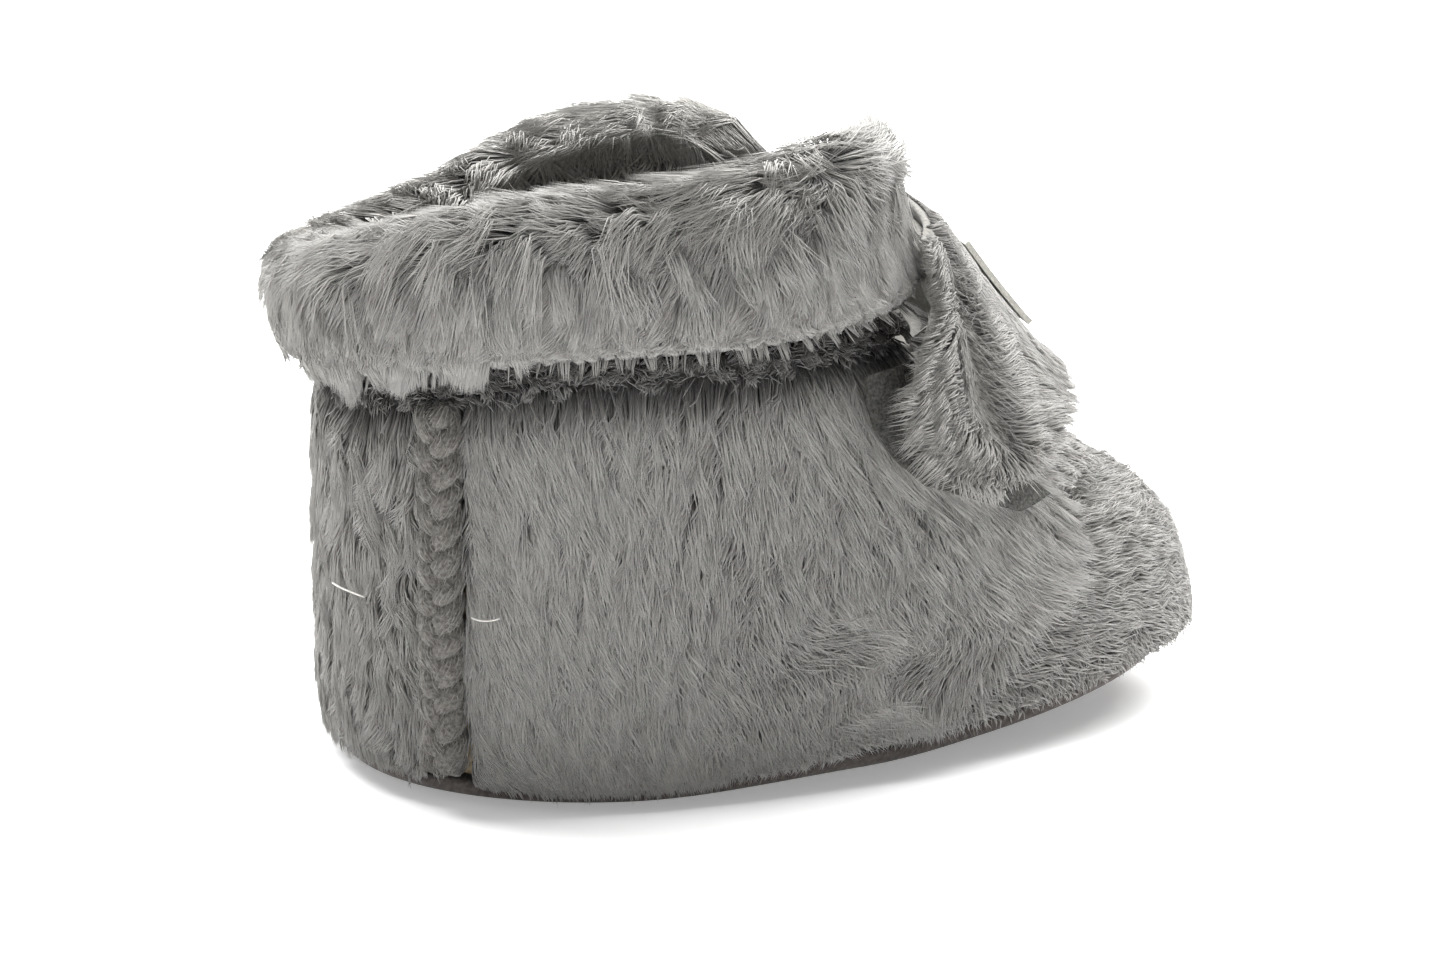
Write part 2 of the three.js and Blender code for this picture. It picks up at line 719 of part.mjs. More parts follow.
addPiece('loop_tape', fabricPanel({
  leftEdge: shifted(flapEnd, -loopTapeMargin),
  rightEdge: constant(closureTapeInner),
  bottom: (bearing) => flapBottom(bearing) - loopTapeMargin,
  top: constant(closureTapeTopHeight),
  outer: constant(layerGap + tapeThickness),
  inner: constant(layerGap),
  round: 0, across: 5, up: 6,
}), closureTape);

// Bare woven patch on the front of the flap.
const patchSpan = bearingSpan(patchWidth / 2, patchBearing, patchBottomHeight);
addPiece('front_patch', fabricPanel({
  leftEdge: constant(patchBearing - patchSpan),
  rightEdge: constant(patchBearing + patchSpan),
  bottom: constant(patchBottomHeight),
  top: constant(patchBottomHeight + patchLength),
  outer: (bearing) => flapOuter(bearing) + seat + patchThickness,
  inner: (bearing) => flapOuter(bearing) + seat,
  round: 0, across: 4, up: 5,
}), cream);

// The folds that the wrap turns on: a straight line through each fold's skin.
function foldLine(bearing, offset, bottom, top) {
  const low = surfacePoint(bearing, bottom, offset);
  const high = surfacePoint(bearing, top, offset);
  return { middle: low.clone().lerp(high, 0.5), direction: high.sub(low).normalize() };
}
const flapFold = foldLine(
  flapFoldBearing,
  flapOuter(flapFoldBearing),
  flapBottomHeight,
  flapShoulderHeight,
);
const underlapFold = foldLine(underlapFoldBearing, 0, underlapBottomHeight, underlapTopHeight);
underlapFold.direction.negate();

// The origin is the middle of the box round the bootie, on the floor.
const box = new THREE.Box3().setFromObject(bootie);
const middle = box.getCenter(new THREE.Vector3());
bootie.position.set(-middle.x, -middle.y, -box.min.z);
for (const fold of [flapFold, underlapFold]) fold.middle.add(bootie.position);
bootie.userData = { flapFold, underlapFold };

export default bootie;
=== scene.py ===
import bpy
import numpy as np
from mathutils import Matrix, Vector


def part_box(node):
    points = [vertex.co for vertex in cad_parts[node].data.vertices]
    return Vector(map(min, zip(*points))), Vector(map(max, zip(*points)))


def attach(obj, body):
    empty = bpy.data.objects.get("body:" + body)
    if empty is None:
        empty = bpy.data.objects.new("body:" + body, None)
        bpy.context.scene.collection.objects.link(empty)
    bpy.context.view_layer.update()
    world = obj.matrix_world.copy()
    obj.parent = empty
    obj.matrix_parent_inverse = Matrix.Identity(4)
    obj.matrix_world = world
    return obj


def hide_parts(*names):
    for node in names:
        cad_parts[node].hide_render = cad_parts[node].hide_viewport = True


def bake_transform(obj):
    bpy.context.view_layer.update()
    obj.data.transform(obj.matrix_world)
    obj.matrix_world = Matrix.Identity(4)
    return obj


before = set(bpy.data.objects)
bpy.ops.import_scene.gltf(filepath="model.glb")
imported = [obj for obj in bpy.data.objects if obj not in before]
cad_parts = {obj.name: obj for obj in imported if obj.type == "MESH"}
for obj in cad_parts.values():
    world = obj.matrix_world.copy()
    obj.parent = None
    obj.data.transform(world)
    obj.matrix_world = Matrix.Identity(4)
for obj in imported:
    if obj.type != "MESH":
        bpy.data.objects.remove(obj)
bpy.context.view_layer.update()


# Suede outsole. One piece of dark brushed suede, cut to the foot's outline. It is soft, so
# only its middle lies flat, and its edge turns up to meet the hem of the fur, to which it
# is sewn. All the cloth above it is cut to the same last, so the last's form comes first.
MM = 0.001
front_reach, heel_reach, half_width, ankle_height = 79.5, 48.0, 35.5, 84.0
toe_squareness, heel_squareness = 2.2, 2.3
toe_spring, heel_lift, flat_front, flat_back = 5.6, 0.8, 20.0, 16.0
edge_rise_back, edge_rise_front, edge_rise_start, edge_rise_end = 1.6, 4.2, -14.0, 20.0
flat_middle_share, lift_hold, lift_fade, level_hold, level_fade = 0.52, 8.0, 40.0, 6.0, 20.0
front_shares = [
    (0, 1.001), (0.06, 0.998), (0.12, 0.985), (0.18, 0.96), (0.24, 0.928), (0.3, 0.886),
    (0.35, 0.855), (0.39, 0.822), (0.43, 0.775), (0.47, 0.71), (0.51, 0.65), (0.56, 0.592),
    (0.648, 0.515), (0.719, 0.46), (0.814, 0.395), (0.893, 0.36), (1.05, 0.34),
]
heel_shares = [(0, 0.965), (0.05, 0.99), (0.3, 1), (0.7, 0.995), (1.05, 0.99)]
width_shares = [(0, 0.97), (0.1, 0.99), (0.25, 1), (0.5, 0.98), (0.75, 0.945), (1.05, 0.9)]
sole_thickness, sole_rounding, sole_inset, layer_gap, skin = 2.2, 0.9, 2.5, 0.45, 4.5
nap_height = 0.4
second_layer = skin + layer_gap
hem_height = sole_thickness + layer_gap


def smooth(v):
    """0 below 0, 1 above 1, and an even S between them."""
    v = np.clip(v, 0, 1)
    return v * v * (3 - 2 * v)


def mix(a, b, share):
    """a at share 0 and b at share 1."""
    return a + (b - a) * share


def follow(table, at):
    """A table's value at each place: cubics through its rows, with slopes that never overshoot."""
    x, y = np.array(sorted(table), float).T
    slope = np.diff(y) / np.diff(x)
    before, after = slope[:-1], slope[1:]
    level = before * after <= 0
    inner = np.where(level, 0, 2 * before * after / np.where(level, 1, before + after))
    tangent = np.concatenate([slope[:1], inner, slope[-1:]])
    at = np.clip(at, x[0], x[-1])
    k = np.clip(np.searchsorted(x, at) - 1, 0, len(x) - 2)
    span = x[k + 1] - x[k]
    t = (at - x[k]) / span
    ends = y[k] * (1 + 2 * t) * (1 - t) ** 2 + y[k + 1] * t * t * (3 - 2 * t)
    return ends + span * t * (1 - t) * (tangent[k] * (1 - t) - tangent[k + 1] * t)


def plan(bearing, height):
    """The last at a bearing and height: half superellipses to toe and heel, scaled by tables."""
    bearing, height = np.broadcast_arrays(np.asarray(bearing, float), np.asarray(height, float))
    c, s = np.cos(np.radians(bearing)), np.sin(np.radians(bearing))
    share = height / ankle_height
    power = 2 / np.where(c > 0, toe_squareness, heel_squareness)
    toe, heel = front_reach * follow(front_shares, share), heel_reach * follow(heel_shares, share)
    width = half_width * follow(width_shares, share)
    x = np.where(c > 0, toe, heel) * np.sign(c) * np.abs(c) ** power
    return np.stack([x, width * np.sign(s) * np.abs(s) ** power, height], -1)


def unit(v):
    """Vectors of length 1."""
    return v / np.maximum(np.linalg.norm(v, axis=-1, keepdims=True), 1e-9)


def facing(bearing, height):
    """The last's outward direction, from the slopes round it and up it; level at the hem."""
    step = ankle_height / 160
    around = plan(bearing + 1, height) - plan(bearing - 1, height)
    up = plan(bearing, height + step) - plan(bearing, height - step)
    normal = unit(np.cross(around, up))
    normal[..., 2] *= smooth((np.asarray(height) - level_hold) / (level_fade - level_hold))
    return unit(normal)


def lift(x, y, height):
    """How far the sole's shape raises a point: toe spring, heel lift and turned-up edges."""
    toe = np.maximum(0, (x - flat_front) / (front_reach - flat_front)) ** 1.5
    heel = np.maximum(0, (-flat_back - x) / (heel_reach - flat_back)) ** 2
    spread = np.hypot(x / np.where(x > 0, front_reach, heel_reach), y / half_width)
    edge = np.maximum(0, (spread - flat_middle_share) / (1 - flat_middle_share)) ** 2.2
    forward = smooth((x - edge_rise_start) / (edge_rise_end - edge_rise_start))
    rise = mix(edge_rise_back, edge_rise_front, forward) * edge
    fade = 1 - smooth((height - lift_hold) / (lift_fade - lift_hold))
    return (toe_spring * toe + heel_lift * heel + rise) * fade


def toward_toe(bearing, start, end):
    """0 behind one bearing cosine and 1 ahead of another."""
    return smooth((np.cos(np.radians(bearing)) - start) / (end - start))


def sole_edge(bearing, inset):
    """The outline of a sole layer, a given distance inside the last at the hem."""
    level = np.full(np.shape(bearing), sole_thickness + 0.3)
    return plan(bearing, level) - facing(bearing, level) * np.asarray(inset)[..., None]


def outsole_inset(bearing):
    """The suede lies under the side panels' edge, and one layer further in round the toe."""
    return sole_inset + second_layer * toward_toe(bearing, 0.1, 0.5)


# The frame's origin is the middle of the finished bootie; the last's is under the ankle.
toe_of_sole = sole_edge(np.array([0.0]), outsole_inset(np.array([0.0])))[0, 0]
last_origin = np.array([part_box("outsole")[1].x / MM - toe_of_sole, 0, 0])


def settle(points):
    """Points of the last lifted by the sole's shape and moved into the frame."""
    x, y, z = np.moveaxis(points, -1, 0)
    return np.stack([x, y, z + lift(x, y, z)], -1) + last_origin


def on_last(bearing, height, out):
    """A point of the bootie: on the last at a bearing and height, moved out from it."""
    return settle(plan(bearing, height) + facing(bearing, height) * np.asarray(out)[..., None])


def mesh_piece(name, points, quads, triangles, material, uv=None, body="shoe"):
    """A smooth mesh piece from arrays: points in millimetres, faces by index, a UV per point."""
    quads = np.asarray(quads, np.int32).reshape(-1, 4)
    triangles = np.asarray(triangles, np.int32).reshape(-1, 3)
    corners = points[quads]
    fans = [points[triangles], corners[:, [0, 1, 2]], corners[:, [0, 2, 3]]]
    volume = sum(np.einsum("ij,ij->", f[:, 0], np.cross(f[:, 1], f[:, 2])) for f in fans)
    if volume < 0:
        quads, triangles = quads[:, ::-1], triangles[:, ::-1]
    loops = np.concatenate([quads.ravel(), triangles.ravel()])
    starts = np.concatenate([
        np.arange(len(quads)) * 4, 4 * len(quads) + np.arange(len(triangles)) * 3,
    ])
    mesh = bpy.data.meshes.new(name)
    mesh.vertices.add(len(points))
    mesh.vertices.foreach_set("co", (points * MM).astype(np.float32).ravel())
    mesh.loops.add(len(loops))
    mesh.loops.foreach_set("vertex_index", loops.astype(np.int32))
    mesh.polygons.add(len(starts))
    mesh.polygons.foreach_set("loop_start", starts.astype(np.int32))
    mesh.polygons.foreach_set("use_smooth", np.ones(len(starts), bool))
    mesh.update(calc_edges=True)
    if uv is not None:
        layer = mesh.uv_layers.new(name="OFBake")
        layer.data.foreach_set("uv", uv[loops].astype(np.float32).ravel())
    mesh.materials.append(material)
    made = bpy.data.objects.new(name, mesh)
    bpy.context.scene.collection.objects.link(made)
    if body:
        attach(made, body)
    return made


def strip_quads(rows, columns, wrap=False, first=0):
    """Faces of a grid of points, rows by columns, with the last column joined to the first."""
    across = np.arange(columns if wrap else columns - 1)
    a = first + np.arange(rows - 1)[:, None] * columns + across
    b = first + np.arange(rows - 1)[:, None] * columns + (across + 1) % columns
    return np.stack([a, b, b + columns, a + columns], -1).reshape(-1, 4)


def closed_surface(name, grid, material, body="shoe"):
    """A closed skin over rings of points: its first and last rings close on their middles."""
    rows, columns = grid.shape[:2]
    ends = np.stack([grid[0].mean(0), grid[-1].mean(0)])
    points = np.concatenate([grid.reshape(-1, 3), ends])
    ring, after = np.arange(columns), (np.arange(columns) + 1) % columns
    last, total = (rows - 1) * columns, rows * columns
    low = np.stack([after, ring, np.full(columns, total)], -1)
    high = np.stack([last + ring, last + after, np.full(columns, total + 1)], -1)
    faces = strip_quads(rows, columns, wrap=True)
    return mesh_piece(name, points, faces, np.concatenate([low, high]), material, body=body)


def sole_layer(name, bottom, top, inset, rounding, material):
    """A slab of the sole: rings out along its underside, round its edge and back over its top.

    A ring at share r lies at r times the outline; the edge is a half circle of the rounding.
    """
    bearing = np.linspace(-180, 180, 144, endpoint=False)
    edge = sole_edge(bearing, inset(bearing) + rounding)
    direction = facing(bearing, np.full(bearing.shape, hem_height))
    shares = np.sin(np.linspace(0.03, 1, 14) * np.pi / 2)
    turns = np.linspace(-np.pi / 2, np.pi / 2, 9)[1:-1]

    def level(ring, height):
        """A ring of points laid flat at a height."""
        return np.concatenate([ring[:, :2], np.full((len(ring), 1), float(height))], 1)

    under = [level(edge * share, bottom) for share in shares]
    round_edge = [level(edge + direction * rounding * np.cos(turn),
                        mix(bottom, top, (1 + np.sin(turn)) / 2)) for turn in turns]
    over = [level(edge * share, top) for share in shares[::-1]]
    return closed_surface(name, settle(np.array(under + round_edge + over)), material)


def link(tree, start, end):
    """Joins two sockets of a node tree."""
    tree.links.new(start, end)


def plain_material(name, roughness, sheen=0.0, specular=0.3):
    """A node material with its shader's own constants, and the tree to draw its colour in."""
    material = bpy.data.materials.new(name)
    material.use_nodes = True
    shader = material.node_tree.nodes["Principled BSDF"]
    shader.inputs["Roughness"].default_value = roughness
    shader.inputs["Specular IOR Level"].default_value = specular
    shader.inputs["Sheen Weight"].default_value = sheen
    shader.inputs["Sheen Roughness"].default_value = 0.5
    return material, material.node_tree, shader


def shade(red, green, blue):
    """A colour as a paint chart gives it, 0 to 255, as the light it reflects."""
    c = np.array([red, green, blue]) / 255
    return (*np.where(c <= 0.04045, c / 12.92, ((c + 0.055) / 1.055) ** 2.4), 1.0)


def ramp(tree, value, stops):
    """A colour ramp over a value, from (place, colour) stops."""
    node = tree.nodes.new("ShaderNodeValToRGB")
    node.color_ramp.elements[0].position, node.color_ramp.elements[0].color = stops[0]
    node.color_ramp.elements[1].position, node.color_ramp.elements[1].color = stops[-1]
    for place, colour in stops[1:-1]:
        node.color_ramp.elements.new(place).color = colour
    link(tree, value, node.inputs["Fac"])
    return node.outputs["Color"]


def grain(tree, scale):
    """Noise on the piece's own coordinates, with its size set by scale in cells a metre."""
    coordinates = tree.nodes.new("ShaderNodeTexCoord")
    noise = tree.nodes.new("ShaderNodeTexNoise")
    noise.inputs["Scale"].default_value = scale
    noise.inputs["Detail"].default_value = 4.0
    link(tree, coordinates.outputs["Object"], noise.inputs["Vector"])
    return noise.outputs["Fac"]


def napped(name, dark, light, scale, roughness=0.95, sheen=0.2, bump=0.5):
    """Suede, felt or knit: mottled from dark to light, with a bump of the same grain."""
    material, tree, shader = plain_material(name, roughness, sheen)
    nap = grain(tree, scale)
    mottle = ramp(tree, nap, [(0.3, shade(*dark)), (0.7, shade(*light))])
    link(tree, mottle, shader.inputs["Base Color"])
    raised = tree.nodes.new("ShaderNodeBump")
    raised.inputs["Strength"].default_value = bump
    raised.inputs["Distance"].default_value = nap_height * MM
    link(tree, nap, raised.inputs["Height"])
    link(tree, raised.outputs["Normal"], shader.inputs["Normal"])
    return material


suede = napped("brushed_suede", (70, 65, 62), (104, 98, 94), 1400)
outsole = sole_layer("suede_outsole", 0, sole_thickness, outsole_inset, sole_rounding, suede)
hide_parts("outsole")


# Foam midsole, insole board and fleece footbed. A soft white foam and a pressed fibre board
# are cut to the inside of the linings and glued in; the footbed is fleece over thin foam.
midsole_thickness, board_thickness, footbed_thickness, seat = 3.0, 1.2, 4.0, 0.3
midsole_toe_tuck, footbed_toe_tuck, inlay_gap, inlay_rounding = 1.5, 5.0, 0.5, 1.2
fleece_height = 1.4
vamp_thickness, vamp_lining_thickness, quarter_lining_thickness = 4.0, 2.5, 3.5
midsole_top = hem_height + midsole_thickness
footbed_bottom = midsole_top + board_thickness + 2 * seat
footbed_top = footbed_bottom + footbed_thickness
third_layer = second_layer + vamp_thickness + layer_gap
lining_depth = second_layer + quarter_lining_thickness


def inner_inset(toe_depth, toe_tuck):
    """How far a sole layer inside the linings lies in from the last, by bearing."""
    def inset(bearing):
        depth = mix(lining_depth, toe_depth, toward_toe(bearing, -0.35, -0.1))
        return inlay_gap + depth + toe_tuck * toward_toe(bearing, 0.1, 0.9)
    return inset


midsole_inset = inner_inset(second_layer + vamp_thickness, midsole_toe_tuck)
footbed_inset = inner_inset(third_layer + vamp_lining_thickness, footbed_toe_tuck)
foam = napped("white_foam", (196, 192, 182), (222, 218, 208), 2600, roughness=0.9, sheen=0.0,
              bump=0.8)
midsole = sole_layer("foam_midsole", hem_height, midsole_top, midsole_inset, inlay_rounding,
                     foam)
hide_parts("midsole")


def finish_nodes(nodes, material):
    """Gives pieces of the frame their real material."""
    for node in nodes:
        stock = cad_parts[node].data.materials
        stock.clear()
        stock.append(material)


finish_nodes(["insole_board", "heel_counter"], napped(
    "pressed_fibre_board", (150, 132, 104), (196, 180, 150), 900, roughness=0.85, sheen=0.0,
    bump=0.3))
fleece_backing = napped("fleece_backing", (112, 110, 104), (150, 148, 142), 1500, bump=0.6)
footbed = sole_layer("fleece_footbed", footbed_bottom, footbed_top - fleece_height,
                     footbed_inset, inlay_rounding, fleece_backing)
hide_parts("footbed")


# Linings. Short grey fleece: two quarter linings up inside the cuff, a heel lining between
# them over the counter, and one inside the toe. Like all the bootie's fur, each is a knitted
# back with acrylic hair through it, in locks that lie as they were combed.
counter_bearing, counter_thickness, heel_lining_thickness = 118.0, 1.0, 2.2
near_cuff_end, far_cuff_end, throat_turn, lining_below_crest = -40.0, 42.0, 3.0, 4.0
underlap_fold_bearing, underlap_free_bearing, fold_gap = -39.0, 9.0, 1.6
vamp_top, vamp_lining_margin, lining_setback = 46.0, 2.2, 2.4
seam_side_height, seam_heel_drop, seam_front_rise, tape_height = 62.0, 6.0, 1.5, 3.0
cuff_height = 24.0
cuff_crest_shares = [
    (-40, 0.946), (-55, 0.968), (-90, 0.864), (-130, 0.703), (-180, 0.624), (-225, 0.48),
    (-245, 0.48), (-258, 0.586), (-271, 0.713), (-285, 0.753), (-300, 0.693), (-318, 0.503),
]
vamp_rear_shares = [
    (0.028, 93), (0.05, 90), (0.113, 78), (0.214, 69), (0.286, 61.5), (0.345, 55), (0.5, 49),
]
hair_strips, hair_rings, lock_width, hair_ridge, clear_of_floor = 24, 2, 0.9, 0.16, 0.4


def waves(x, y, size, seed):
    """Smooth noise from -1 to 1: six sine waves across the cloth, each with its own heading."""
    rng = np.random.default_rng(seed)
    total = 0
    for turn, phase, stretch in rng.uniform(0, 1, (6, 3)):
        angle = 2 * np.pi * turn
        wave = 2 * np.pi / (size * (0.7 + 0.9 * stretch))
        total = total + np.sin(wave * (x * np.cos(angle) + y * np.sin(angle))
                               + 2 * np.pi * phase)
    return total / 3


def clump_centres(p, q, wide, high, cell, rng):
    """The nearest clump to each root, and its own random number.

    Clumps stand one to a cell of a grid over the cloth, each shifted at random in its cell.
    """
    along, up = int(wide / cell[0]) + 3, int(high / cell[1]) + 3
    shift = rng.uniform(-0.45, 0.45, (along, up, 3))
    x, y = p * wide / cell[0] + 1, q * high / cell[1] + 1
    best = np.full(p.shape, 1e9)
    centre = np.zeros((*p.shape, 3))
    for step_x in (-1, 0, 1):
        for step_y in (-1, 0, 1):
            i = np.clip(np.floor(x).astype(int) + step_x, 0, along - 1)
            j = np.clip(np.floor(y).astype(int) + step_y, 0, up - 1)
            cx, cy = i + 0.5 + shift[i, j, 0], j + 0.5 + shift[i, j, 1]
            distance = np.hypot(cx - x, cy - y)
            nearer = distance < best
            best = np.where(nearer, distance, best)
            found = np.stack([(cx - 1) * cell[0] / wide, (cy - 1) * cell[1] / high,
                              shift[i, j, 2] + 0.5], -1)
            centre = np.where(nearer[..., None], found, centre)
    return centre[..., 0], centre[..., 1], centre[..., 2], best


def constant(value):
    """A depth, edge or hem that is the same everywhere."""
    return lambda *place: np.full(np.shape(place[0]), float(value))


def last_scale(bearing, height):
    """Millimetres to a degree of bearing, and to a millimetre of height."""
    chord = np.linalg.norm(plan(bearing + 1, height) - plan(bearing - 1, height), axis=-1)
    return np.maximum(chord / 2, 0.25), np.ones(np.shape(bearing))


def even_scale(across, up):
    """The same number of millimetres everywhere, to 1 of each coordinate."""
    return lambda *place: (constant(across)(*place), constant(up)(*place))


class Cloth:
    """A piece of fur cloth: where its spots lie, and how its pile is combed.

    p and q run over it from 0 to 1; a and b are its own coordinates, here a bearing in degrees
    and a height in millimetres. wide and high are its size in millimetres. combing is the
    angle of the pile from straight down b, positive towards a; nap and loft scale its length
    and how far it stands, dull is added to its tone, as painted shade where it is below 0 and
    painted light where it is above 0, and scale is millimetres to 1 of a and b.
    """

    def __init__(self, spot, place, wide, high, combing, nap=constant(1), loft=constant(1),
                 dull=constant(0), scale=last_scale):
        self.spot, self.place, self.wide, self.high = spot, place, wide, high
        self.combing, self.nap, self.loft, self.dull = combing, nap, loft, dull
        self.scale = scale


def pile(name, cloth, material, seed, count, length, rise, root, width, cell=(1.6, 3.6),
         clump=0.45, unruly=0.15, curl=0.4, tuck=0.3, tone=(0.2, 0.8), body="shoe"):
    """Hair on a piece of cloth, as closed three-sided spikes that lie along it.

    A hair starts at its root depth and, at share t of its length, stands out by rise times
    1 - (1 - t)^1.7 - tuck t^3, less a little at the rim of its clump. It runs along the cloth's
    combing, turned by unruly at random, and turns on by curl. Its tip is drawn to the path of
    its clump's middle by clump times t^1.4. Its section is a flat triangle, narrowing to a
    point. u of its map crosses one of the material's strips, from dull to bright ones by its
    tone; v is the share from root to tip.
    """
    rng = np.random.default_rng(seed)
    side_count = max(1, int(np.sqrt(count * cloth.wide / cloth.high)))
    up_count = max(1, int(count / side_count))
    p, q = np.meshgrid(np.arange(side_count), np.arange(up_count), indexing="ij")
    p = ((p + rng.uniform(0, 1, p.shape)) / side_count).ravel()
    q = ((q + rng.uniform(0, 1, q.shape)) / up_count).ravel()
    clump_p, clump_q, clump_draw, off_centre = clump_centres(p, q, cloth.wide, cloth.high, cell,
                                                             rng)
    own_draw = rng.uniform(0, 1, (7, len(p)))
    spot, centre = cloth.spot(p, q), cloth.spot(clump_p, clump_q)
    t = np.linspace(0, 1, hair_rings + 1)
    turn = unruly * (2 * clump_draw - 1) * 1.4 + unruly * (2 * own_draw[0] - 1) * 0.7
    bend = curl * (2 * clump_draw - 1) + 0.35 * curl * (2 * own_draw[1] - 1)
    reach = mix(length[0], length[1], 0.5 * clump_draw + 0.5 * own_draw[2]) * cloth.nap(*spot)

    def path(place, heading, run):
        """A hair's line on the cloth: from its root along its heading, turned on by its bend."""
        across, up = cloth.scale(*place)
        angle = heading[:, None] + bend[:, None] * t
        move = run[:, None] * t
        return np.stack([place[0][:, None] + move * np.sin(angle) / across[:, None],
                         place[1][:, None] - move * np.cos(angle) / up[:, None]], -1)

    own = path(spot, cloth.combing(*spot) + turn, reach)
    middle = path(centre, cloth.combing(*centre) + unruly * (2 * clump_draw - 1) * 1.4,
                  np.minimum(mix(length[0], length[1], clump_draw) * cloth.nap(*centre),
                             1.2 * reach))
    way = mix(own, middle, (clump * t ** 1.4)[None, :, None])
    height = rise[0] + (rise[1] - rise[0]) * (0.6 * clump_draw + 0.4 * own_draw[3])
    height = (height * cloth.loft(*spot))[:, None]
    sink = 0.3 * np.minimum(off_centre, 1.0)[:, None] ** 2
    stand = root + height * (1 - (1 - t) ** 1.7 - tuck * t ** 3 - sink * t)
    points = cloth.place(way[..., 0], way[..., 1], stand)
    points[..., 2] = np.maximum(points[..., 2], clear_of_floor)
    outward = unit(cloth.place(way[..., 0], way[..., 1], stand + 0.3) - points)
    along = unit(np.gradient(points, axis=1))
    side = unit(np.cross(along, outward))
    ridge = unit(np.cross(side, along))
    wide = mix(width[0], width[1], own_draw[4])
    half = wide[:, None] / 2 * (1 - 0.75 * t[:-1]) ** 0.8
    half[:, 0] *= 0.7
    flat = side[:, :-1] * half[..., None]
    peak = ridge[:, :-1] * np.minimum(half, hair_ridge)[..., None]
    shell = np.stack([points[:, :-1] - flat, points[:, :-1] + flat, points[:, :-1] + peak], 2)
    hairs, block = len(p), 3 * hair_rings + 1
    vertices = np.concatenate([shell.reshape(hairs, 3 * hair_rings, 3), points[:, -1:]], 1)
    level = mix(tone[0], tone[1], 0.5 * clump_draw + 0.5 * own_draw[5]) + cloth.dull(*spot)
    strip = np.floor(np.clip(level, 0.02, 0.97) * hair_strips)
    spread = 0.42 * np.minimum(1, wide / lock_width)
    middle_u = mix(spread + 0.06, 0.94 - spread, own_draw[6])
    u = (strip[:, None] + middle_u[:, None] + spread[:, None] * np.array([-1, 1, 0])) / hair_strips
    u = u[:, None, :].repeat(hair_rings, 1)
    v = 0.005 + 0.98 * t[:-1][None, :, None] + np.zeros_like(u)
    uv = np.stack([u, v], -1).reshape(hairs, 3 * hair_rings, 2)
    tips = np.stack([(strip + middle_u) / hair_strips, np.full(hairs, 0.99)], -1)[:, None]
    uv = np.concatenate([uv, tips], 1).reshape(-1, 2)
    first = np.arange(hairs)[:, None, None] * block
    quads = strip_quads(hair_rings, 3, wrap=True)[None] + first
    top = 3 * (hair_rings - 1)
    closing = np.array([[top, top + 1, top + 3], [top + 1, top + 2, top + 3],
                        [top + 2, top, top + 3], [1, 0, 2]])
    return mesh_piece(name, vertices.reshape(-1, 3), quads.reshape(-1, 4),
                      (closing[None] + first).reshape(-1, 3), material, uv, body)


def pile_material(name, root, middle, tip, streak=0.22):
    """Hair, coloured from root to tip with v and from 0.66 to 1.22 times that with u.

    Fine streaks run along v, some eight to a strip, so that a flat lock reads as many hairs.
    """
    material, tree, shader = plain_material(name, 0.75, 0.35, 0.16)
    uv = tree.nodes.new("ShaderNodeUVMap")
    uv.uv_map = "OFBake"
    split = tree.nodes.new("ShaderNodeSeparateXYZ")
    link(tree, uv.outputs["UV"], split.inputs["Vector"])
    mapping = tree.nodes.new("ShaderNodeMapping")
    mapping.inputs["Scale"].default_value = (hair_strips * 8, 1.6, 1)
    noise = tree.nodes.new("ShaderNodeTexNoise")
    noise.noise_dimensions = "2D"
    noise.inputs["Scale"].default_value = 1.0
    noise.inputs["Detail"].default_value = 1.0
    link(tree, uv.outputs["UV"], mapping.inputs["Vector"])
    link(tree, mapping.outputs["Vector"], noise.inputs["Vector"])
    colour = ramp(tree, split.outputs["Y"], [(0.05, shade(*root)), (0.45, shade(*middle)),
                                             (0.95, shade(*tip))])
    grey = lambda level: (level, level, level, 1)
    for factor in (ramp(tree, split.outputs["X"], [(0.0, grey(0.66)), (1.0, grey(1.22))]),
                   ramp(tree, noise.outputs["Fac"], [(0.3, grey(1 - streak)),
                                                     (0.7, grey(1 + streak / 2))])):
        blend = tree.nodes.new("ShaderNodeMix")
        blend.data_type, blend.blend_type = "RGBA", "MULTIPLY"
        blend.inputs["Factor"].default_value = 1.0
        link(tree, colour, blend.inputs["A"])
        link(tree, factor, blend.inputs["B"])
        colour = blend.outputs["Result"]
    link(tree, colour, shader.inputs["Base Color"])
    return material


def lap(left, right, bottom, top):
    """The spots of a patch of the last between two edges and two hems, which may be curves."""
    def spot(p, q):
        middle = (left(0.0) + right(0.0)) / 2
        guess = mix(bottom(middle), top(middle), q)
        bearing = mix(left(guess), right(guess), p)
        return bearing, mix(bottom(bearing), top(bearing), q)
    return spot


def degrees_for(distance, bearing, height):
    """Degrees of bearing that cover a distance along the last."""
    chord = plan(bearing + 1, height) - plan(bearing - 1, height)
    return distance * 2 / np.linalg.norm(chord, axis=-1)


def shifted(edge, distance):
    """An edge moved along the last by a distance, towards greater bearings."""
    return lambda height: edge(height) + degrees_for(distance, edge(height), height)


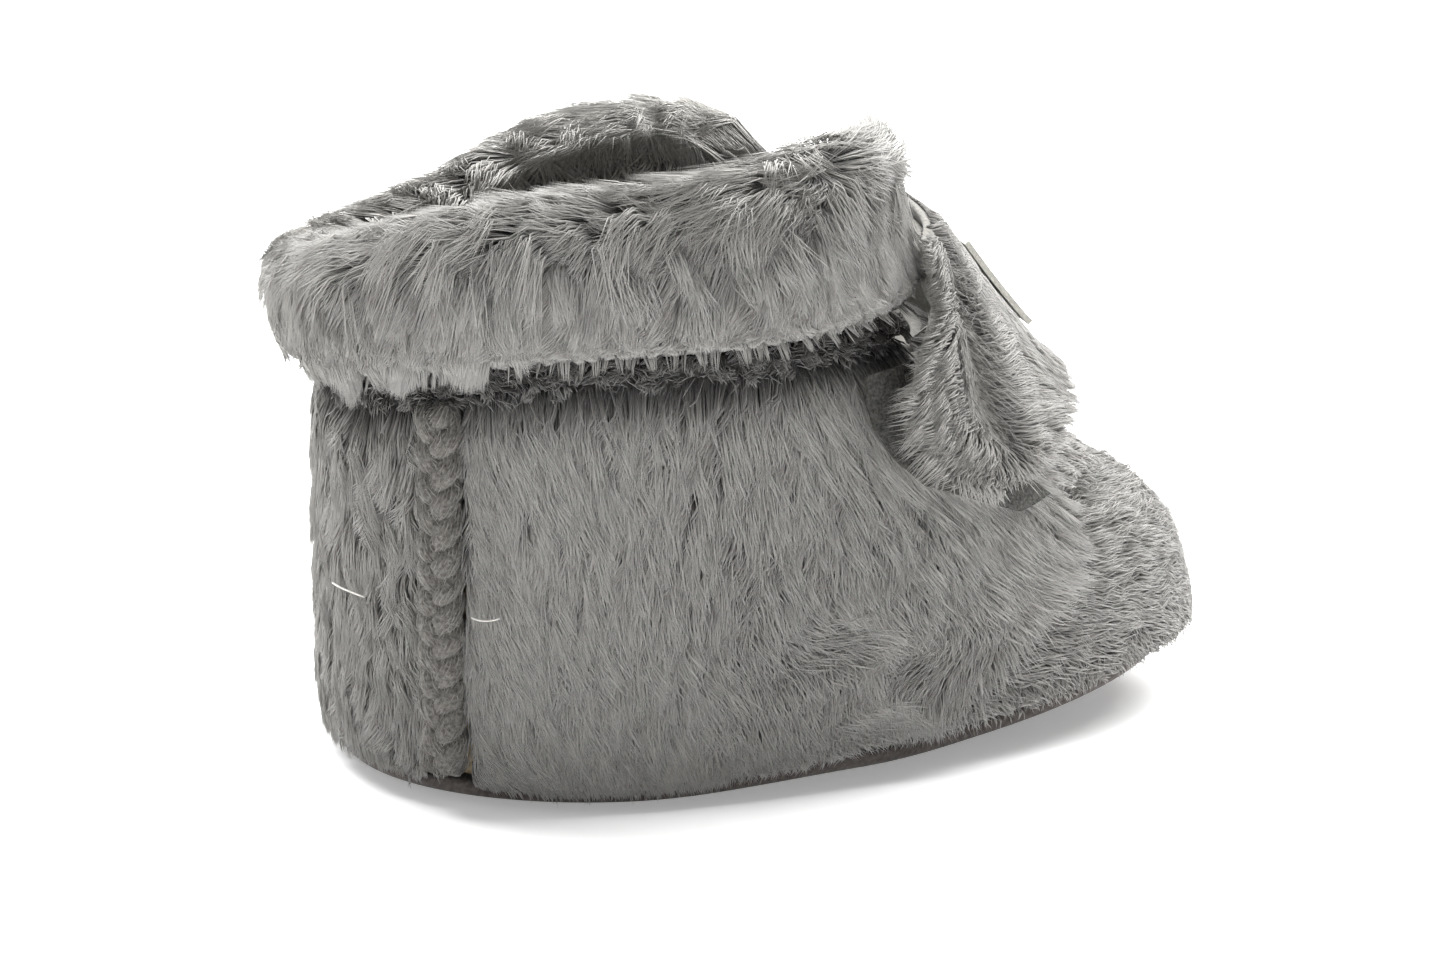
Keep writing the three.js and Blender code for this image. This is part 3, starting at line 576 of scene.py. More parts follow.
def backing(name, spot, outer, inner, across, up, material, body="shoe", rounding=1.2):
    """The knitted back of a fur piece: a closed patch of the last between two depths.

    Its outer face drops by the rounding along its edges, as turned and stitched cloth does.
    """
    p, q = np.meshgrid(np.linspace(0, 1, across), np.linspace(0, 1, up))
    bearing, height = spot(p, q)
    near = np.minimum(np.minimum(p, 1 - p), np.minimum(q, 1 - q)) / 0.12
    drop = rounding * (1 - np.sqrt(1 - (1 - np.clip(near, 0, 1)) ** 2))
    front = on_last(bearing, height, outer(bearing, height) - drop)
    back = on_last(bearing, height, inner(bearing, height))
    points = np.concatenate([front.reshape(-1, 3), back.reshape(-1, 3)])
    size = across * up
    row, column = np.arange(across - 1), np.arange(up - 1) * across
    last = (up - 1) * across
    rims = [np.stack([row + 1, row, row + size, row + size + 1], -1),
            np.stack([last + row, last + row + 1, last + row + 1 + size, last + row + size], -1),
            np.stack([column, column + across, column + across + size, column + size], -1),
            np.stack([column + 2 * across - 1, column + across - 1, column + across - 1 + size,
                      column + 2 * across - 1 + size], -1)]
    inside = strip_quads(up, across, first=size)[:, ::-1]
    faces = np.concatenate([strip_quads(up, across), inside, *rims])
    return mesh_piece(name, points, faces, [], material, body=body)


def seam_height(bearing):
    """The seam under the cuff: level at the sides, lower at the heel, higher in front."""
    c = np.cos(np.radians(bearing))
    return seam_side_height + np.where(c > 0, seam_front_rise * c,
                                       -seam_heel_drop * np.abs(c) ** 3)


def cuff_crest(bearing):
    """Height of the cuff's crest, by bearing from its near end round the heel to its far end."""
    unwrapped = np.where(np.asarray(bearing) > 0, np.asarray(bearing) - 360, bearing)
    return seam_height(bearing) + cuff_height * follow(cuff_crest_shares, unwrapped)


def vamp_rear(height):
    """Bearing of the toe piece's rear edge, under the side panels."""
    return follow(vamp_rear_shares, np.asarray(height) / ankle_height)


def lining_top(bearing):
    """The linings end a little below the crest, turned over into the cuff."""
    return cuff_crest(bearing) - lining_below_crest


fleece = pile_material("grey_fleece", (112, 110, 106), (166, 164, 158), (190, 188, 182))


def lining(name, node, spot, front, back, wide, high, hairs, seed, top=lining_top):
    """A lining: its knitted back, and short curly pile that points into the shoe.

    It thins out towards its top edge, which is turned over under the cuff's pile.
    """
    def inner(bearing, height):
        """The depth of the lining's inner face, less where it thins out."""
        full = smooth((top(bearing) - np.asarray(height)) / 9)
        return mix(-front - 0.5, -back + 1.0, full)

    made = backing(name + "_backing", spot, constant(-front), inner, across=40, up=30,
                   material=fleece_backing, rounding=0.0)
    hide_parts(node)
    inside = lambda b, h, out: on_last(b, h, inner(b, h) - np.asarray(out))
    cloth = Cloth(spot, inside, wide, high, lambda b, h: 0.4 * waves(b, h, 14, seed))
    curls = pile(name + "_pile", cloth, fleece, seed, hairs, length=(4.0, 6.5), rise=(1.2, 2.4),
                 root=0.0, width=(0.3, 0.6), cell=(1.8, 3.0), clump=0.7, unruly=0.45, curl=0.7)


lining("toe_lining", "vamp_lining",
       lap(lambda h: -shifted(vamp_rear, -vamp_lining_margin)(h),
           shifted(vamp_rear, -vamp_lining_margin), constant(midsole_top + seat),
           constant(vamp_top)),
       third_layer, third_layer + vamp_lining_thickness, 90, 38, 1400, 31, constant(vamp_top))
lining("heel_lining", "heel_lining",
       lap(constant(counter_bearing), constant(360 - counter_bearing), constant(hem_height),
           lining_top),
       second_layer + counter_thickness + layer_gap,
       second_layer + counter_thickness + layer_gap + heel_lining_thickness + 1.4, 62, 70, 2300,
       32)
for side_name, side, throat, hairs, seed in (
        ("near", -1, throat_turn - near_cuff_end, 3000, 33),
        ("far", 1, throat_turn + far_cuff_end, 3800, 34)):
    lining(f"quarter_lining_{side_name}", f"quarter_lining_{side_name}",
           lap(lambda h, side=side: side * shifted(constant(counter_bearing), -seat)(h),
               lambda h, side=side, throat=throat: side * np.maximum(
                   shifted(vamp_rear, lining_setback)(h), throat),
               constant(hem_height), lining_top),
           second_layer, lining_depth + 0.6, 62, 76, hairs, seed)


def footbed_place(bearing, share, out):
    """A point over the footbed: at a share of the way from its middle to its outline."""
    edge = sole_edge(bearing, footbed_inset(bearing) + inlay_rounding)
    top = np.full(np.shape(bearing), footbed_top - fleece_height) + out
    return settle(np.stack([edge[..., 0] * share, edge[..., 1] * share, top], -1))


footbed_cloth = Cloth(lambda p, q: (360 * p - 180, np.sqrt(q)), footbed_place, wide=150, high=25,
                      combing=lambda b, share: 3 * waves(b, share * 20, 20, 35),
                      scale=even_scale(0.6, 40))
footbed_pile = pile("footbed_pile", footbed_cloth, fleece, seed=36, count=1600,
                    length=(2.0, 3.0), rise=(0.9, 1.4), root=0.0, width=(0.6, 1.0), cell=(2, 2),
                    clump=0.6, unruly=1.0, curl=1.0)


# Toe piece. A rounded cap of fur with shorter pile, lasted over the toes; its rear edge runs
# under both side panels and its top under the wrap. The pile sweeps forward and down.
side_front_shares = [
    (0.028, 82), (0.05, 78), (0.113, 66), (0.214, 57.5), (0.286, 50.5), (0.345, 45), (0.4, 41),
]
underlap_bottom_height = 34.0
toe_puff, toe_puff_turn, toe_puff_run, beside_wing_turn = 3.0, 16.0, 3.5, 8.0
toe_pile_depth, toe_root = 1.8, -2.0
grey_pile = pile_material("grey_pile", (112, 110, 107), (152, 150, 146), (172, 170, 165), 0.24)
grey_underfur = pile_material("grey_underfur", (98, 96, 93), (136, 134, 130), (156, 154, 150),
                              0.34)
knit_backing = napped("knit_backing", (104, 102, 98), (136, 134, 129), 1300)


def side_front(height):
    """Bearing of the side panels' front edge at a height."""
    return follow(side_front_shares, np.asarray(height) / ankle_height)


def vamp_outer(bearing, height):
    """The toe piece lies a layer in, and swells ahead of the panels and round the near wing."""
    ahead = smooth((side_front(height) - np.abs(bearing)) / toe_puff_turn)
    below = smooth((underlap_bottom_height - np.asarray(height)) / toe_puff_run)
    wing_end = shifted(constant(underlap_free_bearing), layer_gap)(height)
    beside = smooth((bearing - wing_end) / beside_wing_turn)
    return -second_layer + toe_puff * ahead * np.maximum(below, beside)


def toe_combing(bearing, height):
    """Forward over the sides of the toe, and straight down at its tip."""
    side = np.sign(bearing) * smooth(np.abs(bearing) / 30)
    lean = -1.3 * side * smooth((np.asarray(height) + 6) / 24)
    return lean + 0.22 * waves(bearing * 0.8, height, 10, 41)


def toe_loft(bearing, height):
    """The pile lies flatter low on the toe, and fills out under the flap."""
    return mix(0.62, 2.3, smooth((np.asarray(height) - 12) / 18))


def hem_nap(hang, bottom=hem_height, full=8.5):
    """Pile shorter towards a hem, so that its tips hang only a little way below it."""
    def nap(bearing, height):
        low = bottom(bearing) if callable(bottom) else bottom
        return np.clip((np.asarray(height) - low + hang) / full, 0.22, 1)
    return nap


vamp_spot = lap(lambda h: -vamp_rear(h), vamp_rear, constant(hem_height), constant(vamp_top))
vamp_back = backing("toe_backing", vamp_spot, lambda b, h: vamp_outer(b, h) - toe_pile_depth,
                    constant(-second_layer - vamp_thickness), across=80, up=36,
                    material=knit_backing, rounding=1.0)
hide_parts("toe_vamp")
toe_cloth = Cloth(vamp_spot, lambda b, h, out: on_last(b, h, vamp_outer(b, h) + out), wide=112,
                  high=44, combing=toe_combing, nap=hem_nap(1.6, full=6.5), loft=toe_loft)
toe_under = pile("toe_underfur", toe_cloth, grey_underfur, seed=42, count=6000,
                 length=(4.0, 6.0), rise=(1.2, 2.2), root=toe_root, width=(0.5, 0.8),
                 cell=(1.4, 3.0), unruly=0.1)
toe_locks = pile("toe_pile", toe_cloth, grey_pile, seed=43, count=15000, length=(5.0, 7.5),
                 rise=(1.9, 3.0), root=toe_root, width=(0.16, 0.34), cell=(1.1, 3.4), clump=0.5,
                 unruly=0.1, curl=0.4)


# Side panels. The largest pieces of fur, from the plaited heel seam to a curved front edge
# that laps over the toe piece. Their pile hangs down, parts a little, and swirls low at the
# front, where the edge is turned in.
braid_bearing, braid_width, far_under_bearing = 140.0, 6.4, 45.0
pile_depth = 2.7
pile_root = -pile_depth - 0.2


def panel_top(bearing):
    """The panels end just under the seam's tape."""
    return seam_height(bearing) - tape_height - seat


def beside_plait(side):
    """Bearing where a panel stops short of the plait's channel, ahead of it or behind it."""
    return shifted(constant(braid_bearing), side * (braid_width / 2 + seat))


def near_front(height):
    """The near panel's front edge, which stops at the fold of the wing above the toe."""
    return np.maximum(side_front(height),
                      shifted(constant(-underlap_fold_bearing), fold_gap / 2)(height))


def swirl(bearing, height, middle, size, turn):
    """An added turn of the combing that grows towards the middle of a cowlick."""
    near = np.hypot((bearing - middle[0]) * 0.8, height - middle[1]) / size
    return turn * np.exp(-near ** 2)


def near_combing(bearing, height):
    """Down, leaning to the heel in the middle, forward low down, with swirls at the front."""
    lean = 0.1 * waves(bearing * 0.7, height, 24, 11) + 0.06 * waves(bearing * 0.7, height, 8, 13)
    lean = lean - 0.2 * smooth((bearing + 122) / 25) * smooth((height - 20) / 20)
    lean = lean + 0.55 * smooth((-116 - bearing) / 12) * smooth((15 - height) / 8)
    lean = lean + 0.5 * smooth((bearing + 64) / 14) * smooth((40 - height) / 12)
    lean = lean + swirl(bearing, height, (-83, 22), 4.0, 1.5)
    lean = lean + swirl(bearing, height, (-70, 16), 4.0, -1.8)
    return lean + swirl(bearing, height, (-79, 8), 4.0, 1.2)


def far_combing(bearing, height):
    """Down, leaning a little to the heel."""
    lean = 0.2 * waves(bearing * 0.7, height, 22, 12) + 0.15
    return lean - 0.5 * smooth((66 - bearing) / 14) * smooth((42 - np.asarray(height)) / 10)


def seam_painted_shade(bearing, height):
    """Painted shade: darker pile just under the seam, below the cuff, and beside the plait."""
    below = panel_top(bearing) - np.asarray(height)
    beside = (braid_bearing - np.abs(bearing)) * 0.8
    return -0.45 * np.exp(-below / 1.6) - 0.3 * np.exp(-np.abs(beside - 4) / 2)


def fur_panel(name, node, spot, combing, wide, high, seed, under, hairs, fine, nap, **more):
    """A flat fur piece of the shoe: backing, underfur and one or more coats of finer hair."""
    made = backing(name + "_backing", spot, constant(-pile_depth), constant(-skin), across=60,
                   up=44, material=knit_backing)
    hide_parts(node)
    cloth = Cloth(spot, on_last, wide, high, combing, nap=nap, dull=seam_painted_shade)
    parts = [made, pile(name + "_underfur", cloth, grey_underfur, seed, under,
                        length=(6.0, 8.5), rise=(1.6, 2.5), root=pile_root, width=(0.5, 0.85),
                        cell=(1.5, 4.0), unruly=0.08)]
    for coat, count in enumerate(hairs):
        parts.append(pile(f"{name}_pile_{coat + 1}", cloth, grey_pile, seed + 1 + coat, count,
                          length=(7.0, 10.0), rise=(2.1, 3.1), root=pile_root, width=fine,
                          **more))


near_spot = lap(lambda h: -beside_plait(-1)(h), lambda h: -near_front(h), constant(hem_height),
                panel_top)
fur_panel("near_side", "side_panel_near", near_spot, near_combing, wide=76, high=57,
          seed=21, under=8000, hairs=(15000, 9500), fine=(0.15, 0.32), nap=hem_nap(1.8),
          cell=(1.3, 4.2), clump=0.4, unruly=0.08, curl=0.3)
far_spot = lap(beside_plait(-1), lambda h: np.maximum(side_front(h), far_under_bearing),
               constant(hem_height), panel_top)
fur_panel("far_side", "side_panel_far", far_spot, far_combing, wide=76, high=57, seed=24,
          under=4500, hairs=(7500,), fine=(0.22, 0.42), nap=hem_nap(1.8))


# Heel panel. Fur between the two plaited seams, over the counter; its longer locks lie in
# overlapping tufts, with dark gaps between them.
def heel_combing(bearing, height):
    """Down, with locks that wander to each side."""
    lean = 0.28 * waves(bearing, height, 13, 51) + 0.2 * waves(bearing, height, 6, 52)
    return lean + 0.2 * np.sin(np.radians((bearing - 180) * 2.4)) - 0.1


heel_spot = lap(beside_plait(1), lambda h: 360 - beside_plait(1)(h), constant(hem_height),
                panel_top)
fur_panel("heel", "heel_panel", heel_spot, heel_combing, wide=42, high=52, seed=55,
          under=4000, hairs=(8500,), fine=(0.2, 0.4), nap=hem_nap(1.8),
          cell=(2.0, 4.4), clump=0.65, unruly=0.2, tuck=0.1)


# Heel plaits. Three strands of thick woollen yarn, plaited and laid in the channel between
# the heel panel and each side panel, and stitched down through their middle.
plait_turn, plait_swing, plait_depth, yarn_radius, plait_sink = 12.3, 1.45, 0.9, 1.7, 1.3
yarn_wool = napped("yarn_wool", (70, 68, 64), (132, 129, 124), 1900, sheen=0.3, bump=0.9)


def plait_strand(side, phase, samples, sides):
    """A strand of a plait: a tube whose middle swings across once and in and out twice a turn.

    Its radius carries the ply of the yarn, as ridges that wind round it.
    """
    height = np.linspace(hem_height + seat, panel_top(braid_bearing) - seat, samples)
    swing = 2 * np.pi * (height / plait_turn + phase)
    across = plait_swing * np.sin(swing)
    depth = plait_depth * np.sin(2 * swing) - plait_sink
    bearing = side * braid_bearing + degrees_for(1.0, braid_bearing, height) * across
    middle = on_last(bearing, height, depth)
    along = unit(np.gradient(middle, axis=0))
    flank = unit(np.cross(along, facing(bearing, height)))
    outward = unit(np.cross(flank, along))
    turn = np.linspace(0, 2 * np.pi, sides, endpoint=False)
    ply = 0.07 * np.cos(3 * turn[None] + height[:, None] * 2.4)
    ends = smooth(np.minimum(np.arange(samples), np.arange(samples)[::-1]) / 5)
    radius = yarn_radius * (0.35 + 0.65 * ends)[:, None] * (1 + ply)
    return (middle[:, None] + flank[:, None] * (radius * np.cos(turn))[..., None]
            + outward[:, None] * (radius * np.sin(turn))[..., None])


def plait_cloth(side, phase):
    """One strand as cloth for its loose fibres: a counts rings along it, b points round it."""
    grid = plait_strand(side, phase, 200, 24)
    rows, columns = grid.shape[:2]
    centre = grid.mean(1)

    def place(a, b, out):
        """A point over the strand, moved out from its middle."""
        row = np.clip(a, 0, rows - 1.001)
        low, share = row.astype(int), (row % 1)[..., None]
        column = np.round(b).astype(int) % columns
        point = mix(grid[low, column], grid[low + 1, column], share)
        middle = mix(centre[low], centre[low + 1], share)
        return point + unit(point - middle) * np.asarray(out)[..., None]

    return Cloth(lambda p, q: (p * (rows - 2), q * columns), place, wide=60, high=10,
                 combing=lambda a, b: 1.2 + 0.4 * waves(a * 0.3, b * 0.4, 5, 61),
                 scale=even_scale(0.3, 2.2))


yarn_fibre = pile_material("yarn_fibre", (92, 89, 84), (142, 139, 133), (168, 165, 159))
for side_name, side, fibres in (("near", -1, 1900), ("far", 1, 600)):
    for strand in range(3):
        yarn = closed_surface(f"heel_plait_{side_name}_yarn_{strand + 1}",
                              plait_strand(side, strand / 3, 150, 14), yarn_wool)
        if strand == 0:
            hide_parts(f"heel_plait_{side_name}")
        fuzz = pile(f"heel_plait_{side_name}_fuzz_{strand + 1}", plait_cloth(side, strand / 3),
                    yarn_fibre, seed=63 + 3 * side + strand, count=fibres, length=(1.2, 2.4),
                    rise=(0.25, 0.6), root=-0.12, width=(0.14, 0.26), cell=(1.0, 1.0), clump=0.2,
                    unruly=0.5)


# Cuff seam and rolled cuff. A dark tape binds the tops of the panels, its near-black colour
# partly painted shade of the gap under the cuff; above it the fur is rolled outwards into a
# soft stuffed cuff, open in front. Its pile falls from a matted ridge down the outside, sweeps
# back along the top, and falls down the inside.
cuff_overhang, tape_recess, cuff_path, cuff_girth, cuff_degree = 6.0, 1.2, 45, 52, 0.72
cuff_out_shares = [0.45, 0.85, 1, 0.97, 0.66, 0.15, -0.42, -0.88, -1, -1, -1]
cuff_rise_shares = [0, 0.1, 0.35, 0.68, 0.88, 0.985, 0.985, 0.9, 0.72, 0.3, 0]
ridge_share, crest_share = 0.35, 0.55
cuff_plump_steps = [
    (-40, 2.0), (-55, 3.0), (-75, 3.6), (-95, 3.8), (-115, 5.2), (-135, 6.2), (-158, 5.0),
    (-185, 1.8), (-212, -0.5), (-228, -1.8), (-245, -1.2), (-262, 1.0), (-280, 0.3), (-318, 0.5),
]


def cuff_section(bearing, share):
    """The cuff's section in millimetres out and up, from its outer foot over to its inner."""
    at = np.linspace(0, 1, len(cuff_out_shares))
    out = follow(list(zip(at, cuff_out_shares)), share)
    rise = follow(list(zip(at, cuff_rise_shares)), share)
    low = seam_height(bearing) + seat
    high = cuff_crest(bearing) + follow(cuff_plump_steps, bearing)
    belly = out * skin * (1 + 0.9 * np.exp(-((share - 0.7) / 0.13) ** 2))
    return np.where(out > 0, out * cuff_overhang, belly), mix(low, high, rise)


def cuff_place(bearing, share, out):
    """A point of the cuff, moved out square to its section; past its foot it hangs down."""
    step = 0.012
    o1, h1 = cuff_section(bearing, np.clip(share - step, 0, 1))
    o2, h2 = cuff_section(bearing, np.clip(share + step, 0, 1))
    length = np.maximum(np.hypot(o2 - o1, h2 - h1), 1e-6)
    offset, height = cuff_section(bearing, share)
    hang = np.clip(share, None, 0) * cuff_path
    return on_last(bearing, height - out * (o2 - o1) / length + hang,
                   offset + out * (h2 - h1) / length)


def cuff_scale(bearing, share):
    """Millimetres to a degree round the cuff, and to the whole of its section."""
    offset, height = cuff_section(bearing, share)
    chord = on_last(bearing + 1, height, offset) - on_last(bearing - 1, height, offset)
    rise = cuff_crest(bearing) - seam_height(bearing)
    return np.maximum(np.linalg.norm(chord, axis=-1) / 2, 0.3), 2 * rise + 11


def cuff_combing(bearing, share):
    """Down the outside, swept to the heel over the top, down the inside.

    At the front of the near side the sweep turns the other way, forward over the cuff's end.
    """
    forward = smooth((bearing + 92) / 22)
    outside = mix(0.3, -0.3, forward) + 0.14 * waves(bearing * 0.8, share * 40, 12, 71)
    outside = outside * smooth((share + 0.02) / 0.2)
    over = mix(1.45, -1.15, smooth((bearing + 74) / 14))
    over = over + 0.25 * waves(bearing, share * 40, 14, 72)
    turn = mix(outside, over, smooth((share - ridge_share + 0.03) / 0.09))
    turn = mix(turn, 2.9, smooth((share - crest_share) / 0.15))
    return -np.tanh((bearing + 180) / 18) * turn


def cuff_painted_light_and_shade(bearing, share):
    """Painted shade in the ridge's gaps and at the foot, and painted light on the far side."""
    line = ridge_share - 0.02 + 0.03 * waves(bearing, 0 * bearing, 26, 73)
    patches = smooth(waves(bearing, share * 60, 9, 74) + 0.4)
    far = smooth((-180 - bearing) / 15)
    return (0.3 * far - 0.5 * (1 - far) * np.exp(-((share - line) / 0.035) ** 2) * patches
            - 0.35 * smooth((0.05 - share) / 0.05))


def cuff_nap(bearing, share):
    """Short at the foot, so that the seam below shows; longer where tufts hang over it."""
    tufts = 3.5 * smooth((-100 - bearing) / 20) * smooth(waves(bearing, 0 * bearing, 9, 75))
    return np.clip((share * cuff_path - 0.4 + tufts) / 9, 0.12, 1)


cuff_start, cuff_end = near_cuff_end, far_cuff_end - 360
ring = np.minimum(np.arange(150), np.arange(150)[::-1]) / 7
inset = pile_depth + 2.2 * (1 - np.sqrt(1 - (1 - np.clip(ring, 0, 1)) ** 2))
ring_bearing, ring_share = np.meshgrid(np.linspace(cuff_start, cuff_end, 150),
                                       np.linspace(0, 1, 44), indexing="ij")
cuff_core = closed_surface("cuff_backing", cuff_place(ring_bearing, ring_share,
                                                      -inset[:, None] + 0 * ring_share),
                           knit_backing)
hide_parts("cuff_roll")


def cuff_pile(name, start, end, low, high, material, seed, count, **more):
    """Pile over a part of the cuff, between two bearings and two shares of its section."""
    spot = lambda p, q: (mix(start, end, p), mix(low, high, q))
    cloth = Cloth(spot, cuff_place, abs(end - start) * cuff_degree, (high - low) * cuff_girth,
                  cuff_combing, nap=cuff_nap, dull=cuff_painted_light_and_shade, scale=cuff_scale)
    made = pile(name, cloth, material, seed, count, root=pile_root, **more)


cuff_pile("cuff_near_underfur", cuff_start - 0.5, -185, 0.0, 0.3, grey_underfur, 76, 4500,
          length=(5.5, 8.0), rise=(1.6, 2.6), width=(0.5, 0.85), cell=(1.8, 4.0), unruly=0.12)
cuff_pile("cuff_near_pile", cuff_start - 0.5, -185, 0.01, 0.38, grey_pile, 77, 15500,
          length=(7.5, 11.0), rise=(2.2, 3.3), width=(0.18, 0.36), cell=(1.6, 5.0), clump=0.55,
          unruly=0.12, curl=0.35)
cuff_pile("cuff_near_ridge", cuff_start - 4, -135, 0.29, 0.41, grey_pile, 78, 3600,
          length=(4.5, 8.0), rise=(3.0, 4.8), width=(0.16, 0.32), cell=(1.9, 3.2), clump=0.7,
          unruly=0.4, curl=0.6, tuck=0.3)
# The top pile's tone is raised: painted light on the cuff's lit top.
cuff_pile("cuff_top_pile", cuff_start - 0.5, cuff_end + 0.5, 0.37, 0.75, grey_pile, 79, 15500,
          length=(7.0, 11.0), rise=(2.8, 5.0), width=(0.18, 0.36), cell=(2.2, 4.6), clump=0.6,
          unruly=0.3, curl=0.6, tuck=0.0, tone=(0.3, 0.95))
# The inner pile's tone is raised: painted light inside the cuff, against the shade there.
cuff_pile("cuff_inner_pile", cuff_start - 0.5, cuff_end + 0.5, 0.66, 1.0, grey_pile, 80, 8000,
          length=(8.0, 13.0), rise=(3.0, 5.0), width=(0.3, 0.55), cell=(2.2, 4.0), clump=0.6,
          unruly=0.25, tone=(0.5, 1.0))
cuff_pile("cuff_far_underfur", -185, cuff_end + 0.5, 0.0, 0.3, grey_underfur, 83, 2500,
          length=(5.5, 8.0), rise=(1.4, 2.4), width=(0.9, 1.4))
cuff_pile("cuff_far_pile", -185, cuff_end + 0.5, 0.01, 0.38, grey_pile, 84, 8000,
          length=(7.0, 10.0), rise=(2.2, 3.3), width=(0.26, 0.5), cell=(1.8, 4.6), clump=0.55,
          unruly=0.15)

tape_ring, tape_turn = np.meshgrid(np.linspace(cuff_start, cuff_end, 120),
                                   np.linspace(0, 2 * np.pi, 16, endpoint=False), indexing="ij")
tape_half = (skin - tape_recess) / 2
tape = on_last(tape_ring, seam_height(tape_ring) - tape_height / 2 * (1 - np.sin(tape_turn)),
               -tape_recess - 0.7 - tape_half * (1 - np.cos(tape_turn)))
# The tape is near black: a dark binding, and in part painted shade of the gap under the cuff.
dark_tape_and_painted_shade = napped("seam_tape_painted_shade", (34, 33, 31), (68, 66, 63), 1700, sheen=0.1, bump=0.8)
cuff_tape = closed_surface("cuff_seam_binding", tape, dark_tape_and_painted_shade)
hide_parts("cuff_seam_tape")
# Its loose fibres are as dark, in part painted shade under the cuff.
seam_fibre_painted_shade = pile_material("seam_fibre_painted_shade", (38, 37, 35), (70, 68, 65), (104, 102, 98))
tape_spot = lambda p, q: (mix(cuff_start, cuff_end, p),
                          seam_height(mix(cuff_start, cuff_end, p)) - tape_height * (1 - q))
tape_cloth = Cloth(tape_spot, on_last, wide=200, high=3.4,
                   combing=lambda b, h: 2.0 * waves(b, h, 7, 81))
matted = pile("cuff_seam_matting_painted_shade", tape_cloth, seam_fibre_painted_shade, seed=82, count=4200,
              length=(1.8, 3.2), rise=(0.6, 1.7), root=-tape_recess - 0.9, width=(0.25, 0.5),
              cell=(1.4, 1.4), clump=0.7, unruly=1.4, curl=1.4)


# Near wing of the wrap. It runs on from the near side panel at its fold and crosses the
# instep first, under the flap, and its free end lies on the toe piece.
underlap_top, underlap_centre_rise = 59.0, 2.5
underlap_lining_thickness, underlap_lining_margin = 2.5, 1.5


def underlap_bottom(bearing):
    """The wing's lower edge, raised over the middle of the instep."""
    return underlap_bottom_height + underlap_centre_rise * np.cos(np.radians(bearing)) ** 2


wing_spot = lap(shifted(constant(underlap_fold_bearing), fold_gap / 2),
                constant(underlap_free_bearing), underlap_bottom, constant(underlap_top))
wing = backing("near_wing_backing", wing_spot, constant(-pile_depth), constant(-skin), across=40,
               up=26, material=knit_backing, body="underlap_wing")
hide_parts("underlap")
wing_cloth = Cloth(wing_spot, on_last, wide=42, high=24,
                   combing=lambda b, h: 0.9 * smooth(-b / 30) + 0.25 * waves(b, h, 12, 91),
                   nap=hem_nap(1.5, underlap_bottom))
wing_locks = pile("near_wing_pile", wing_cloth, grey_pile, seed=92, count=4000,
                  length=(5.0, 8.0), rise=(1.8, 3.0), root=pile_root, width=(0.3, 0.6), clump=0.6,
                  unruly=0.2, body="underlap_wing")
wing_lining = backing(
    "near_wing_lining",
    lap(shifted(constant(underlap_fold_bearing), underlap_lining_margin),
        shifted(constant(underlap_free_bearing), -underlap_lining_margin),
        constant(vamp_top + 2 * seat), constant(underlap_top - underlap_lining_margin)),
    constant(-second_layer), constant(-second_layer - underlap_lining_thickness), across=30,
    up=20, material=fleece_backing, body="underlap_wing", rounding=0.6)
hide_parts("underlap_lining")


# Closure flap. The far wing of the wrap, folded over the instep to the near side, where its
# end makes an ear. A crease sets the ear off, and the pile parts along it.
flap_fold_bearing, flap_bottom_height, flap_centre_rise, flap_centre_bearing = (
    51.0, 38.0, 6.0, -10.0)
flap_top_height, flap_shoulder_height, flap_shoulder_bearing, flap_shoulder_turn = (
    70.0, 60.0, 26.0, 18.0)
tape_thickness, flap_lining_thickness, flap_fur_thickness, flap_margin = 0.6, 1.8, 3.0, 1.2
flap_end_shares = [
    (-0.05, -46), (0.016, -51), (0.09, -56), (0.22, -59), (0.375, -60.5), (0.53, -59.5),
    (0.64, -54.5), (0.72, -46), (0.765, -38.5), (0.89, -37.5), (1, -34),
]
crease_width, crease_depth, flap_root = 3.0, 1.8, -2.2


def stand_off(bearing):
    """How far the flap stands off the last: room for both tapes, less at its root."""
    stack = 2 * (tape_thickness + layer_gap)
    return layer_gap + stack * smooth((flap_fold_bearing - bearing) / flap_fold_bearing)


def flap_outer(bearing):
    """The flap's fur surface above the last."""
    return stand_off(bearing) + flap_lining_thickness + layer_gap + flap_fur_thickness


def flap_end(height):
    """Bearing of the ear's outline at a height."""
    share = (np.asarray(height) - flap_bottom_height) / (flap_top_height - flap_bottom_height)
    return follow(flap_end_shares, share)


def flap_bottom(bearing):
    """The flap's lower edge, raised over the instep."""
    turn = np.radians(np.asarray(bearing) - flap_centre_bearing)
    return flap_bottom_height + flap_centre_rise * np.cos(turn) ** 6


def flap_top(bearing):
    """The flap's upper edge, stepped down at its root to clear the cuff."""
    rise = smooth((flap_shoulder_bearing - np.asarray(bearing)) / flap_shoulder_turn)
    return mix(flap_shoulder_height, flap_top_height, rise)


def crease_line(height):
    """Bearing of the crease, which runs up and forward."""
    return mix(-47.0, -24.0, smooth((np.asarray(height) - 46) / 28))


def crease(bearing, height):
    """1 in the fold that sets the ear off from the front of the flap."""
    tall = smooth((np.asarray(height) - 42) / 5)
    return np.exp(-((bearing - crease_line(height)) / crease_width) ** 2) * tall


def flap_place(bearing, height, out):
    """A point over the flap's fur surface, dipped at the crease."""
    return on_last(bearing, height, flap_outer(bearing) - crease_depth * crease(bearing, height)
                   + out)


